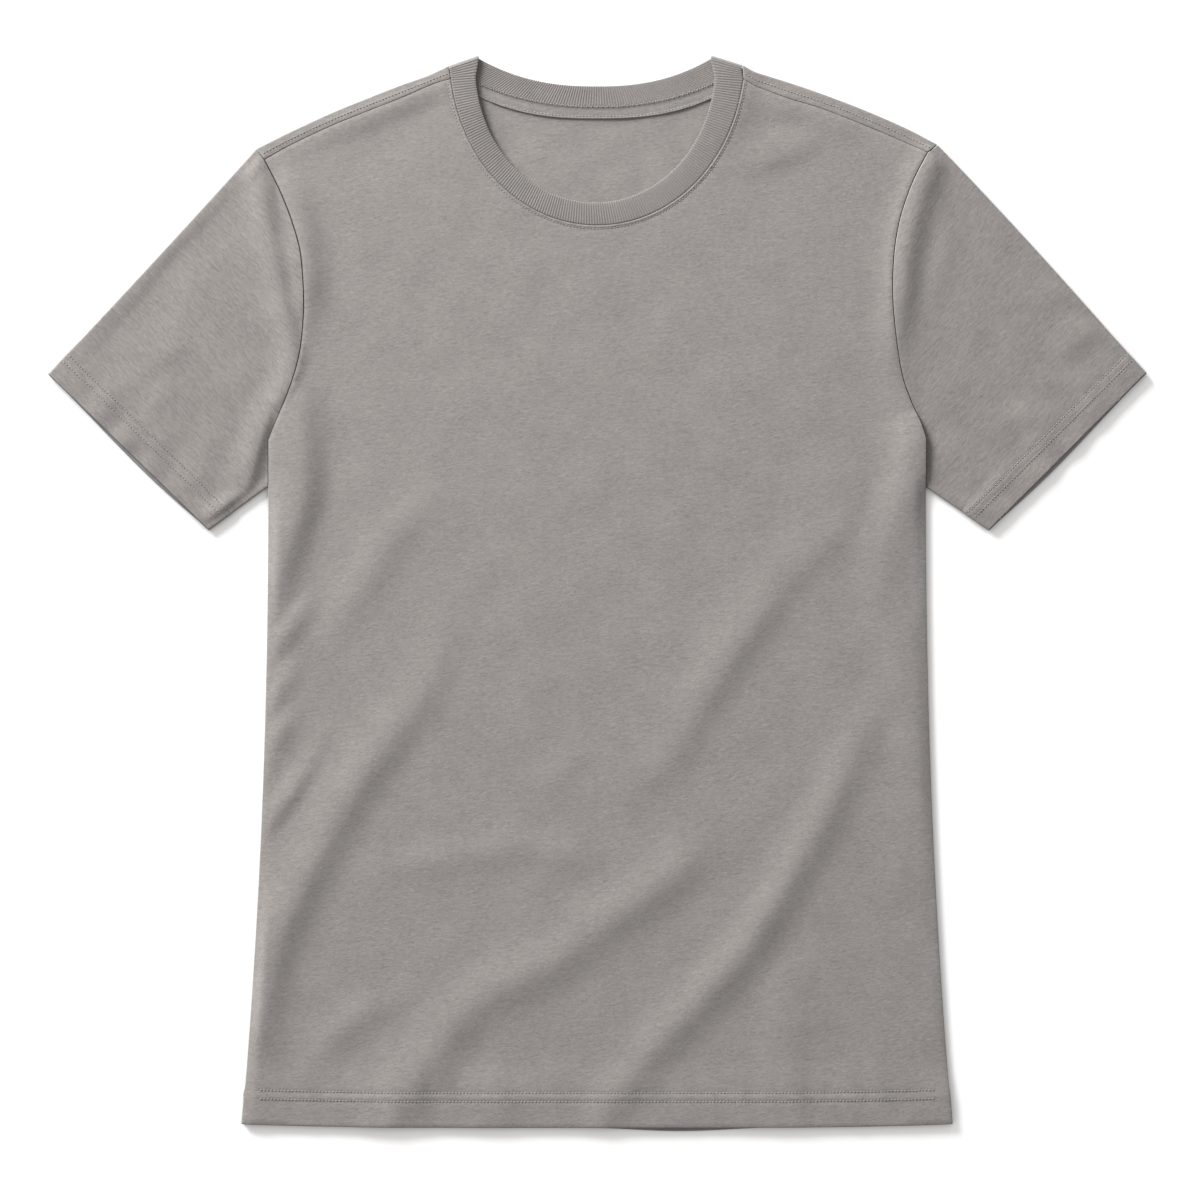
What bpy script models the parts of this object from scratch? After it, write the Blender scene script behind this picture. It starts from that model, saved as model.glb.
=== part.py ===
"""Crew neck t-shirt, laid flat on its back with the front up.

The tables and sizes below are millimetres. X runs across the body with 0 on its centre line,
Y runs up the body with 0 half way between the hem and the top of the neck, and Z is height
above the surface the shirt lies on. The meshes are made in metres in the same axes.

Each piece is a wall of cloth. Its outer face comes from plan curves (seams, edges and folds)
and a height over the plan; its inner face is the outer one moved in by the cloth's thickness.
Pieces that are sewn together stand SEAM_GAP apart along the seam.
"""

import math
from collections import namedtuple

import bmesh
import bpy
import numpy as np
from mathutils import Vector
from mathutils.geometry import delaunay_2d_cdt

MM = 0.001
LEFT, RIGHT = -1, 1

# Cloth walls: one layer of jersey, a turned-up hem, the double rib band and the neck tape.
JERSEY = 1.0
HEM = 1.6
RIB = 2.0
TAPE = 1.0
SEAM_GAP = 0.3

# Radius of the outer face where two layers turn over at a fold, plain and in a hem.
FOLD_RADIUS = 1.5
CUFF_RADIUS = 1.9
FOLD_STEPS = 4
LAYERED = 2.0 * FOLD_RADIUS

# Body: half its width at the underarm, how far it flares to the hem, and where the hems lie.
HALF_CHEST = 229.8
FLARE = 18.6
FLARE_POWER = 2.1
UNDERARM_Y = 74.5
UNDERARM_BLEND = 12.0
HEM_Y = -373.8
BACK_HEM_Y = -373.5
HEM_CORNER_RISE = 2.6
BODY_HEM_DEPTH = 25.0
HEM_TOP = 3.6
SIDE_TOP = 2.75
SIDE_FALL = 4.0

# The back's hem comes lower than the front's at one place: how far, where and how wide.
BACK_PEEK = 2.8
BACK_PEEK_X = 58.0
BACK_PEEK_WIDTH = 48.0

# Armhole seam, from below the shoulder to above the armpit: how far each stands from x = 0.
Armhole = namedtuple("Armhole", "y left right")
ARMHOLE = (
    Armhole(y=293, left=226.9, right=222.8),
    Armhole(y=278, left=219.7, right=216.6),
    Armhole(y=260, left=212.8, right=211.1),
    Armhole(y=240, left=207.2, right=207.7),
    Armhole(y=219, left=205.1, right=206.5),
    Armhole(y=201, left=204.7, right=206.9),
    Armhole(y=183, left=205.8, right=208.6),
    Armhole(y=166, left=208.2, right=210.9),
    Armhole(y=149, left=212.9, right=214.4),
    Armhole(y=133, left=219.0, right=220.2),
    Armhole(y=120, left=224.6, right=226.3),
)

# Shoulder: heights of the folded edge and of the seam set forward of it, at x from the neck.
Shoulder = namedtuple("Shoulder", "x edge_left edge_right seam_left seam_right")
SHOULDER = (
    Shoulder(x=110, edge_left=366.1, edge_right=365.0, seam_left=357.7, seam_right=355.0),
    Shoulder(x=120, edge_left=361.6, edge_right=361.8, seam_left=353.9, seam_right=351.2),
    Shoulder(x=135, edge_left=356.4, edge_right=357.1, seam_left=347.3, seam_right=345.8),
    Shoulder(x=155, edge_left=348.7, edge_right=350.3, seam_left=339.3, seam_right=339.8),
    Shoulder(x=185, edge_left=336.5, edge_right=338.9, seam_left=327.3, seam_right=328.3),
    Shoulder(x=215, edge_left=322.7, edge_right=325.9, seam_left=313.2, seam_right=315.6),
)

# Corners of each side: where the shoulder ends, the armpit, and the two ends of the cuff.
Side = namedtuple(
    "Side", "shoulder seam_end armpit underarm cuff_top cuff_foot bow collar_tip collar_end"
)
SIDES = {
    LEFT: Side(
        shoulder=(-238.0, 311.2),
        seam_end=(-232.4, 303.5),
        armpit=(-229.8, 107.0),
        underarm=(-229.8, UNDERARM_Y),
        cuff_top=(-384.3, 152.6),
        cuff_foot=(-272.3, 43.8),
        bow=-0.5,
        collar_tip=(-83.1, 376.3),
        collar_end=(-104.0, 369.0),
    ),
    RIGHT: Side(
        shoulder=(238.0, 314.0),
        seam_end=(231.0, 308.4),
        armpit=(230.1, 108.5),
        underarm=(229.9, UNDERARM_Y),
        cuff_top=(384.7, 153.2),
        cuff_foot=(275.1, 43.8),
        bow=1.3,
        collar_tip=(80.0, 376.3),
        collar_end=(101.8, 369.5),
    ),
}
CUFF_DEPTH = 20.5

# Cuff: how far the layer below reaches past the top one and the top one gapes, how that runs
# along the cuff, over which share of the sleeve its folds grow towards the hem and by how much,
# and the share of the cuff over which they grow the rest.
UNDER_CUFF_REACH = 2.2
CUFF_GAPE = 0.2
CUFF_SKEW = 1.36
CUFF_TAPER = 1.3
CUFF_GROWS = 0.12
CUFF_GROWTH = 0.7
CUFF_STEP = 0.12

# Neck: the seam and the free edge of the rib band at the front are parts of two ellipses.
SEAM_CENTRE = (0.0, 368.0)
SEAM_HALF_WIDTH = 100.8
SEAM_DROP = 110.5
SEAM_FLARE = 2.4
SEAM_FLARE_POWER = 4
EDGE_CENTRE = (-1.3, 368.0)
EDGE_HALF_WIDTH = 83.6
EDGE_DROP = 94.6
BACK_SEAM_Y = 340.6
BACK_SEAM_POWER = 2.2
BACK_EDGE_Y = 355.0
BACK_EDGE_POWER = 2.4
SEAM_STEP_DOWN = 0.075

# Rib band: its height where it turns over beside the neck and at the front, and its crown.
BAND_TURN = 2.7
BAND_FRONT = 1.3
BAND_SINKS = (290.0, 340.0)
BAND_CROWN = 0.15
BAND_LIP = 0.5

# How far the band raises the jersey beside it: below the neck, and beside it on each side.
NECK_RISE = 0.15
NECK_RISE_BESIDE = {LEFT: 0.6, RIGHT: 1.4}
NECK_RISE_WIDTH = 14.0

# Tape over the back neck seam.
TAPE_WIDTH = 8.0
TAPE_HALF_LENGTH = 91.0
TAPE_LOW_POWER = 2.6

# Folds in the top layer. Each point of a path holds x, y and lift, how high the fold stands
# there or, below 0, how deep it lies. near is its width to the left of the path as it runs from
# its first point, far its width to the right.
Fold = namedtuple("Fold", "name path near far")
BODY_FOLDS = (
    Fold("left_hip", ((-100, -12, 0.0), (-112, -45, 0.8), (-124, -73, 1.3), (-146, -103, 1.9),
                      (-164, -127, 2.2), (-178, -151, 2.4), (-193, -177, 2.5),
                      (-206, -204, 2.7), (-220, -234, 2.9), (-229, -266, 3.0),
                      (-235, -298, 2.6), (-238, -322, 1.4), (-240, -345, 0.9),
                      (-242, -370, 0.6)), 14.0, 20.0),
    Fold("centre_hem", ((78, -166, 0.3), (60, -190, 1.5), (38, -208, 2.0), (20, -220, 2.1),
                        (-3, -236, 2.0), (-25, -253, 1.9), (-50, -267, 1.9), (-75, -280, 1.9),
                        (-95, -296, 1.9), (-110, -314, 1.9), (-125, -334, 2.1),
                        (-138, -355, 2.0), (-146, -374, 1.8)), 16.0, 19.0),
    Fold("right_hem", ((195, -78, 0.2), (179, -113, 1.3), (163, -148, 2.1), (149, -174, 2.2),
                       (136, -197, 2.3), (117, -229, 2.5), (104, -249, 2.5), (81, -274, 2.3),
                       (61, -296, 2.0), (43, -314, 1.8), (28, -335, 1.6), (14, -350, 1.4),
                       (4, -374, 1.1)), 14.0, 14.5),
    Fold("right_waist", ((184, 92, 0.0), (176, 64, 0.5), (160, 38, 0.9), (138, 16, 1.1),
                         (119, -8, 1.4), (102, -31, 1.7), (87, -55, 1.7), (73, -78, 1.4),
                         (57, -104, 1.1), (43, -123, 0.8), (22, -140, 0.5), (2, -157, 0.0)),
         12.5, 20.0),
    Fold("left_waist", ((-98, 80, 0.0), (-118, 66, 0.6), (-136, 47, 0.9), (-149, 30, 1.0),
                        (-160, 10, 1.0), (-172, -10, 0.8), (-183, -30, 0.5), (-196, -48, 0.0)),
         13.0, 14.0),
    Fold("hip_across", ((-160, -196, 0.2), (-125, -188, 0.9), (-95, -183, 0.8), (-50, -179, 0.8),
                        (-20, -185, 0.6), (10, -197, 0.0)), 14.0, 11.0),
    Fold("left_foot", ((-116, -276, 0.0), (-150, -288, 0.6), (-170, -298, 0.8),
                       (-187, -314, 0.8), (-203, -334, 0.3)), 11.0, 12.0),
    Fold("left_roll", ((-208, 168, 0.2), (-208, 146, 1.0), (-209, 124, 2.1), (-207, 102, 2.6),
                       (-205, 82, 2.6), (-208, 62, 2.6), (-213, 45, 2.6), (-220, 24, 2.4),
                       (-225, 4, 1.8), (-227, -14, 0.8), (-228, -30, 0.2)), 12.0, 24.0),
    Fold("inside_left_roll", ((-188, 128, -0.2), (-186, 104, -0.6), (-185, 82, -0.65),
                              (-188, 62, -0.65), (-194, 45, -0.6), (-202, 24, -0.5),
                              (-209, 4, -0.3), (-213, -10, 0.0)), 22.0, 9.0),
    Fold("right_roll", ((223, 130, 0.4), (224, 116, 2.2), (223, 100, 3.0), (221, 84, 3.0),
                        (215, 68, 2.4), (209, 50, 1.8), (203, 22, 1.3), (203, -5, 0.9),
                        (209, -30, 0.9), (214, -60, 1.0), (219, -90, 0.9), (224, -120, 1.0),
                        (222, -150, 0.8), (217, -190, 0.5), (215, -230, 0.0)), 22.0, 15.0),
    Fold("right_foot", ((141, -250, 0.0), (136, -280, 0.8), (130, -310, 0.9), (132, -345, 0.9),
                        (133, -374, 0.7)), 16.0, 15.0),
    Fold("left_pucker_1", ((-227, -44, 0.5), (-215, -25, 1.3), (-203, -8, 0.6),
                           (-196, 4, 0.0)), 9.0, 8.0),
    Fold("left_pucker_2", ((-230, -84, 0.4), (-221, -66, 1.2), (-210, -48, 0.5),
                           (-202, -36, 0.0)), 9.0, 8.0),
    Fold("left_pucker_3", ((-230, -114, 0.5), (-222, -98, 1.1), (-212, -82, 0.4),
                           (-205, -70, 0.0)), 8.0, 8.0),
    Fold("left_pucker_4", ((-232, -164, 0.5), (-221, -149, 1.4), (-209, -132, 1.2),
                           (-196, -112, 0.5), (-184, -90, 0.0)), 8.0, 8.0),
    Fold("left_shoulder", ((-106, 356, 0.2), (-118, 350, 0.5), (-135, 343, 0.6),
                           (-155, 335, 0.5), (-175, 328, 0.4), (-195, 321, 0.2),
                           (-215, 312, 0.0)), 8.0, 16.0),
    Fold("under_left_shoulder", ((-104, 343, -0.2), (-122, 336, -0.65), (-145, 326, -0.65),
                                 (-168, 316, -0.55), (-190, 307, -0.35),
                                 (-210, 298, 0.0)), 26.0, 7.5),
    Fold("right_shoulder", ((108, 349, 0.3), (124, 343, 1.0), (142, 337, 0.7),
                            (165, 327, 0.5), (192, 320, 0.0)), 9.0, 10.0),
    Fold("beside_neck", ((88, 299, 0.4), (104, 301, 0.7), (120, 304, 0.85), (137, 310, 0.8),
                         (150, 318, 0.5), (160, 327, 0.15)), 15.0, 8.5),
)

ARMHOLE_FOLDS = (
    Fold("left_head", ((-241, 306, 1.2), (-234, 285, 2.3), (-230, 262, 2.5), (-226, 240, 2.5),
                       (-221, 215, 2.5), (-216, 190, 2.3), (-212, 168, 2.2), (-215, 150, 2.2),
                       (-223, 135, 2.0), (-230, 122, 1.0)), 8.0, 10.5),
    Fold("left_seam", ((-222, 296, 0.3), (-214, 282, 1.2), (-208, 262, 2.0), (-205, 240, 2.5),
                       (-202, 220, 2.7), (-204, 203, 2.0), (-206, 184, 1.0),
                       (-208, 164, 0.4)), 11.0, 17.0),
    Fold("right_seam", ((238, 308, 2.2), (230, 290, 3.0), (222, 264, 3.0), (217, 240, 3.0),
                        (214, 215, 3.0), (211, 192, 2.4), (210, 172, 1.3), (212, 150, 0.8),
                        (217, 132, 0.6)), 9.0, 13.0),
)

SLEEVE_FOLDS = (
    Fold("left_armpit", ((-228, 130, 1.2), (-234, 112, 2.2), (-239, 95, 2.2), (-243, 80, 1.6),
                         (-248, 71, 0.6)), 5.5, 11.0),
    Fold("left_top", ((-245, 284, -0.3), (-265, 262, -0.5), (-287, 240, -0.5),
                      (-306, 217, -0.65), (-322, 198, -0.55), (-339, 179, -0.65),
                      (-355, 161, -0.2), (-367, 148, -0.1)), 18.0, 6.5),
    Fold("left_foot_edge", ((-240, 78, 0.5), (-255, 66, 0.9), (-270, 55, 0.7)), 6.0, 6.0),
    Fold("right_top_1", ((352, 186, 0.9), (336, 177, 0.8), (318, 160, 0.0)), 9.0, 9.0),
)

# How close to its side edges the body's folds fade, and a sleeve's to its own, as a share.
EDGE_CALM = 7.0
SLEEVE_CALM = 0.035

# How far the sleeve's top layer lies lower beside the gusset, and how wide that is.
ARMPIT_SINK = 0.7
ARMPIT_SINK_WIDTH = 12.0

# Spacing of the points inside a panel, on a fold and on plain cloth, and along its edges.
FOLD_POINTS = 10.0
PLAIN_POINTS = 30.0
FOLD_SHOWS = 0.2
SIDE_PARTS = 30
HEM_PARTS = 36
SHOULDER_PARTS = 9
ARMHOLE_PARTS = 14
GUSSET_PARTS = 3
NECK_PARTS = 34
BACK_NECK_PARTS = 16
SLEEVE_PARTS = 15
PATH_PARTS = 24

# Colour of the cloth, linear, and how matt it is.
CLOTH_COLOUR = (0.262, 0.242, 0.231)
CLOTH_ROUGHNESS = 0.9


def unit(vector):
    """The vector with length 1."""
    return np.asarray(vector, dtype=float) / np.linalg.norm(vector)


def turned(vector):
    """A plan vector turned a quarter turn to the left."""
    return np.array((-vector[1], vector[0]))


def ease(low, high, value):
    """0 below low, 1 above high, and a smooth rise between them."""
    share = np.clip((np.asarray(value, dtype=float) - low) / (high - low), 0.0, 1.0)
    return share * share * (3.0 - 2.0 * share)


def spaced(points, parts):
    """A polyline cut into parts of equal length."""
    points = np.asarray(points, dtype=float)
    steps = np.linalg.norm(np.diff(points, axis=0), axis=1)
    along = np.concatenate(([0.0], np.cumsum(steps)))
    wanted = np.linspace(0.0, along[-1], parts + 1)
    return np.column_stack([np.interp(wanted, along, column) for column in points.T])


def smooth(points, parts):
    """A smooth curve through the points, cut into parts of equal length."""
    points = np.asarray(points, dtype=float)
    ends = np.vstack((2 * points[0] - points[1], points, 2 * points[-1] - points[-2]))
    share = np.linspace(0.0, 1.0, 13)[:-1, None]
    runs = []
    for before, start, end, after in zip(ends, ends[1:], ends[2:], ends[3:]):
        leave, arrive = (end - before) / 2, (after - start) / 2
        cube, square = share**3, share**2
        runs.append(
            (2 * cube - 3 * square + 1) * start
            + (cube - 2 * square + share) * leave
            + (3 * square - 2 * cube) * end
            + (cube - square) * arrive
        )
    return spaced(np.vstack(runs + [points[-1:]]), parts)


def nearest(points, path):
    """Signed distance of each point from a path (left is positive), and how far along it is."""
    points = np.asarray(points, dtype=float)
    best = np.full(len(points), np.inf)
    signed = np.zeros(len(points))
    along = np.zeros(len(points))
    length = np.linalg.norm(np.diff(path, axis=0), axis=1)
    before = np.concatenate(([0.0], np.cumsum(length)))
    for index, (start, end) in enumerate(zip(path, path[1:])):
        way = (end - start) / length[index]
        offset = points - start
        share = np.clip(offset @ way, 0.0, length[index])
        away = np.linalg.norm(offset - share[:, None] * way, axis=1)
        closer = away < best
        side = np.sign(way[0] * offset[:, 1] - way[1] * offset[:, 0])
        best = np.where(closer, away, best)
        signed = np.where(closer, side * away, signed)
        along = np.where(closer, (before[index] + share) / before[-1], along)
    return signed, along


def inside(points, outline):
    """Whether each point lies within a closed outline."""
    crossings = np.zeros(len(points), dtype=int)
    for (x0, y0), (x1, y1) in zip(outline, np.roll(outline, -1, axis=0)):
        if y0 == y1:
            continue
        spans = (points[:, 1] >= min(y0, y1)) & (points[:, 1] < max(y0, y1))
        reach = x0 + (points[:, 1] - y0) * (x1 - x0) / (y1 - y0)
        crossings += spans & (points[:, 0] < reach)
    return crossings % 2 == 1


def inset(outline, gaps):
    """A counter-clockwise outline with each edge moved in by its own gap."""
    moved = []
    count = len(outline)
    for index, point in enumerate(outline):
        before = turned(unit(point - outline[index - 1]))
        after = turned(unit(outline[(index + 1) % count] - point))
        first, second = gaps[index - 1], gaps[index]
        cross = before[0] * after[1] - before[1] * after[0]
        if abs(cross) < 0.02:
            moved.append(point + (first + second) / 2 * unit(before + after))
            continue
        x = (first * after[1] - second * before[1]) / cross
        y = (second * before[0] - first * after[0]) / cross
        moved.append(point + np.array((x, y)))
    return np.array(moved)


class Wall:
    """A wall of cloth, from the points and faces of its outer side and its thickness."""

    def __init__(self):
        """Starts with no points."""
        self.index = {}
        self.points = []
        self.inward = []
        self.faces = []

    def point(self, x, y, z, inward):
        """The number of a point of the outer side; a point given twice is kept once."""
        key = (round(x, 4), round(y, 4), round(z, 4))
        if key not in self.index:
            self.index[key] = len(self.points)
            self.points.append((x, y, z))
            self.inward.append(tuple(inward))
        return self.index[key]

    def grid(self, rows, closed=False):
        """Faces between rows of point numbers; closed joins the end of each row to its start."""
        for lower, upper in zip(rows, rows[1:]):
            last = len(lower) if closed else len(lower) - 1
            for k in range(last):
                n = (k + 1) % len(lower)
                self.faces.append((lower[k], lower[n], upper[n], upper[k]))

    def build(self, name):
        """Closes the wall with an inner side and rims and makes the object."""
        mesh = bmesh.new()
        outer = [mesh.verts.new(Vector(p) * MM) for p in self.points]
        inner = [
            mesh.verts.new((Vector(p) + Vector(i)) * MM) for p, i in zip(self.points, self.inward)
        ]
        uses = {}
        for face in self.faces:
            mesh.faces.new([outer[k] for k in face])
            mesh.faces.new([inner[k] for k in reversed(face)])
            for start, end in zip(face, face[1:] + face[:1]):
                uses.setdefault(frozenset((start, end)), []).append((start, end))
        for runs in uses.values():
            if len(runs) == 1:
                start, end = runs[0]
                mesh.faces.new((outer[end], outer[start], inner[start], inner[end]))
        return make_object(name, mesh)


def make_object(name, mesh):
    """Turns a closed bmesh into a smooth-shaded object with its own cloth material."""
    bmesh.ops.recalc_face_normals(mesh, faces=mesh.faces)
    bmesh.ops.triangulate(mesh, faces=mesh.faces)
    data = bpy.data.meshes.new(name)
    mesh.to_mesh(data)
    mesh.free()
    data.shade_smooth()
    data.set_sharp_from_angle(angle=math.radians(40))
    material = bpy.data.materials.new(f"{name} cloth")
    material.use_nodes = True
    shader = material.node_tree.nodes["Principled BSDF"]
    shader.inputs["Base Color"].default_value = (*CLOTH_COLOUR, 1.0)
    shader.inputs["Roughness"].default_value = CLOTH_ROUGHNESS
    shader.inputs["Metallic"].default_value = 0.0
    data.materials.append(material)
    piece = bpy.data.objects.new(name, data)
    bpy.context.scene.collection.objects.link(piece)
    return piece


# ---------------------------------------------------------------- plan curves


def half_width(y):
    """Half the body's width at a height below the underarm."""
    fall = np.clip((UNDERARM_Y - np.asarray(y, dtype=float)) / (UNDERARM_Y - HEM_Y), 0.0, None)
    return HALF_CHEST + FLARE * fall**FLARE_POWER


def bump(away, width):
    """A round hump of height 1, that has fallen to 0.37 one width away."""
    return np.exp(-((away / width) ** 2))


def hem_line(low, peek):
    """A hem edge, that comes peek lower at one place, from left to right."""
    share = np.linspace(-1.0, 1.0, HEM_PARTS + 1)
    x = share * half_width(HEM_Y)
    drop = peek * bump(x - BACK_PEEK_X, BACK_PEEK_WIDTH)
    return np.column_stack((x, low + HEM_CORNER_RISE * share**4 - drop))


def side_edge(side, low):
    """A side edge of the body from the underarm down to just above the hem's corner."""
    y = np.linspace(SIDES[side].underarm[1], low + HEM_CORNER_RISE, SIDE_PARTS + 1)[:-1]
    edge = np.column_stack((side * half_width(y), y))
    edge[0] = SIDES[side].underarm
    return edge


def armhole(side):
    """The armhole seam from the end of the shoulder seam to the armpit."""
    rows = [(side * (row.left if side == LEFT else row.right), row.y) for row in ARMHOLE]
    return smooth([SIDES[side].seam_end, *rows, SIDES[side].armpit], ARMHOLE_PARTS)


def gusset(side):
    """The body's edge from the armpit to the underarm, where the sleeve goes under it."""
    return spaced((SIDES[side].armpit, SIDES[side].underarm), GUSSET_PARTS)


def shoulder_edge(side):
    """The folded edge of the shoulder from the neck outwards."""
    rows = [(side * row.x, row.edge_left if side == LEFT else row.edge_right) for row in SHOULDER]
    return smooth([SIDES[side].collar_end, *rows, SIDES[side].shoulder], SHOULDER_PARTS)


def neck_seam():
    """The front neck seam from the left collar fold to the right one."""
    middle = np.linspace(SEAM_STEP_DOWN, math.pi - SEAM_STEP_DOWN, NECK_PARTS - 1)
    flare = SEAM_FLARE * (1 - np.sin(middle)) ** SEAM_FLARE_POWER * np.sign(np.cos(middle))
    curve = np.column_stack(
        (
            SEAM_CENTRE[0] - SEAM_HALF_WIDTH * np.cos(middle) - flare,
            SEAM_CENTRE[1] - SEAM_DROP * np.sin(middle),
        )
    )
    ends = [collar_axis(side)[1] for side in (LEFT, RIGHT)]
    return np.vstack((ends[:1], curve, ends[1:]))


def neck_edge():
    """The front free edge of the rib band, point for point beside the neck seam."""
    middle = np.linspace(SEAM_STEP_DOWN, math.pi - SEAM_STEP_DOWN, NECK_PARTS - 1)
    curve = np.column_stack(
        (
            EDGE_CENTRE[0] - EDGE_HALF_WIDTH * np.cos(middle),
            EDGE_CENTRE[1] - EDGE_DROP * np.sin(middle),
        )
    )
    ends = [collar_axis(side)[0] for side in (LEFT, RIGHT)]
    return np.vstack((ends[:1], curve, ends[1:]))


def band_radius():
    """Outer radius of the rib band where it turns over beside the neck."""
    return (BAND_TURN + RIB) / 2


def collar_axis(side):
    """The line that the rib band turns over about, from its free edge to its seam."""
    tip, end = np.array(SIDES[side].collar_tip), np.array(SIDES[side].collar_end)
    return tip - band_radius() * collar_outward(side), end - band_radius() * collar_outward(side)


def collar_outward(side):
    """Plan direction in which the turned-over rib band bulges."""
    along = unit(np.array(SIDES[side].collar_end) - np.array(SIDES[side].collar_tip))
    return side * turned(along)


def back_curve(side_ends, low, power, parts):
    """A curve across the back of the neck, from the right end to the left one."""
    left, right = side_ends
    share = np.linspace(1.0, -1.0, parts + 1)
    x = np.where(share > 0, share * right[0], -share * left[0])
    top = np.where(share > 0, right[1], left[1])
    return np.column_stack((x, low + (top - low) * np.abs(share) ** power))


def back_seam():
    """The back neck seam from right to left."""
    ends = (collar_axis(LEFT)[1], collar_axis(RIGHT)[1])
    return back_curve(ends, BACK_SEAM_Y, BACK_SEAM_POWER, BACK_NECK_PARTS)


def back_edge():
    """The back free edge of the rib band from right to left."""
    ends = (collar_axis(LEFT)[0], collar_axis(RIGHT)[0])
    return back_curve(ends, BACK_EDGE_Y, BACK_EDGE_POWER, BACK_NECK_PARTS)


def shoulder_seam(side):
    """The seam set forward of the shoulder, from the neck outwards."""
    rows = [(side * row.x, row.seam_left if side == LEFT else row.seam_right) for row in SHOULDER]
    neck = neck_seam()[1 if side == LEFT else -2]
    return smooth([neck, *rows, SIDES[side].seam_end], SHOULDER_PARTS)


# ---------------------------------------------------------------- heights


def fold_lift(points, folds):
    """How far the highest ridge and the deepest trough move the top layer at each point."""
    raised, sunk = np.zeros(len(points)), np.zeros(len(points))
    for fold in folds:
        line = smooth(fold.path, PATH_PARTS)
        away, along = nearest(points, line[:, :2])
        height = np.interp(along, np.linspace(0.0, 1.0, len(line)), line[:, 2])
        height = height * bump(away, np.where(away > 0, fold.near, fold.far))
        raised, sunk = np.maximum(raised, height), np.minimum(sunk, height)
    return raised + sunk


def neck_lift(points):
    """How far the rib band raises the cloth beside it at each point."""
    away, _ = nearest(points, neck_seam())
    beside = np.where(points[:, 0] < 0, NECK_RISE_BESIDE[LEFT], NECK_RISE_BESIDE[RIGHT])
    rise = NECK_RISE + (beside - NECK_RISE) * ease(*BAND_SINKS, points[:, 1])
    return rise * bump(away, NECK_RISE_WIDTH)


def hem_share(points, edge_y, depth):
    """1 within the turned-up hem, 0 above it."""
    return 1.0 - ease(edge_y + depth - 1.5, edge_y + depth + 1.5, points[:, 1])


def front_height(points):
    """Height of the front's outer side at each point."""
    x, y = points[:, 0], points[:, 1]
    from_side = half_width(y) - np.abs(x)
    below = 1.0 - ease(UNDERARM_Y - UNDERARM_BLEND, UNDERARM_Y + UNDERARM_BLEND, y)
    calm = 1.0 - below * (1.0 - ease(0.0, EDGE_CALM, from_side))
    slope = 1.0 - ease(HEM_Y + BODY_HEM_DEPTH, HEM_Y + 2 * BODY_HEM_DEPTH, y)
    side_fall = (LAYERED - SIDE_TOP) * below * bump(from_side, SIDE_FALL)
    plain = LAYERED + (HEM_TOP - LAYERED) * slope - side_fall * (1.0 - slope)
    return plain + neck_lift(points) + calm * fold_lift(points, BODY_FOLDS + ARMHOLE_FOLDS)


# ---------------------------------------------------------------- pieces


def fill(outline, raised, rows=()):
    """Triangles over an outline: the points used, outline first, and the faces' numbers.

    raised(points) says where the points lie close together; rows are extra points inside.
    """
    low, high = outline.min(axis=0), outline.max(axis=0)
    pitch = FOLD_POINTS * math.sqrt(3) / 2
    coarse = round(PLAIN_POINTS / FOLD_POINTS)
    across = np.arange(int((high[0] - low[0]) / FOLD_POINTS) + 2)
    grid, plain = [], []
    for level in range(int((high[1] - low[1]) / pitch) + 1):
        x = low[0] + (across + 0.5 * (level % 2)) * FOLD_POINTS
        grid.append(np.column_stack((x, np.full(len(x), low[1] + level * pitch))))
        plain.append((across % coarse == 0) & (level % coarse == 0))
    grid, plain = np.vstack(grid), np.concatenate(plain)
    for row in rows:
        clear = np.abs(nearest(grid, row)[0]) > 0.5 * FOLD_POINTS
        grid, plain = grid[clear], plain[clear]
    grid = grid[plain | raised(grid)]
    ring = np.vstack((outline, outline[:1]))
    grid = np.vstack((grid, *rows)) if len(rows) else grid
    grid = grid[inside(grid, outline)]
    grid = grid[np.abs(nearest(grid, ring)[0]) > 0.45 * FOLD_POINTS]
    points = np.vstack((outline, grid))
    edges = [(k, (k + 1) % len(outline)) for k in range(len(outline))]
    _, _, faces, sources, *_ = delaunay_2d_cdt([Vector(p) for p in points], edges, [], 1, 1e-6)
    return points, [tuple(sources[k][0] for k in face) for face in faces]


def body_outline(shoulders, neck, low, peek):
    """A counter-clockwise body outline from the hem's left corner, given its upper lines.

    shoulders holds each side's line from the neck outwards and neck runs from right to left. The
    hem lies at low and comes peek lower at one place.
    Returns the points and the number of points up to where each line starts.
    """
    runs = [
        hem_line(low, peek),
        side_edge(RIGHT, low)[::-1],
        gusset(RIGHT)[::-1][1:-1],
        armhole(RIGHT)[::-1],
        shoulders[RIGHT][::-1],
        neck,
        shoulders[LEFT],
        armhole(LEFT),
        gusset(LEFT)[1:-1],
        side_edge(LEFT, low),
    ]
    starts = np.concatenate(([0], np.cumsum([len(run) for run in runs])))
    return np.vstack(runs), starts


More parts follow.
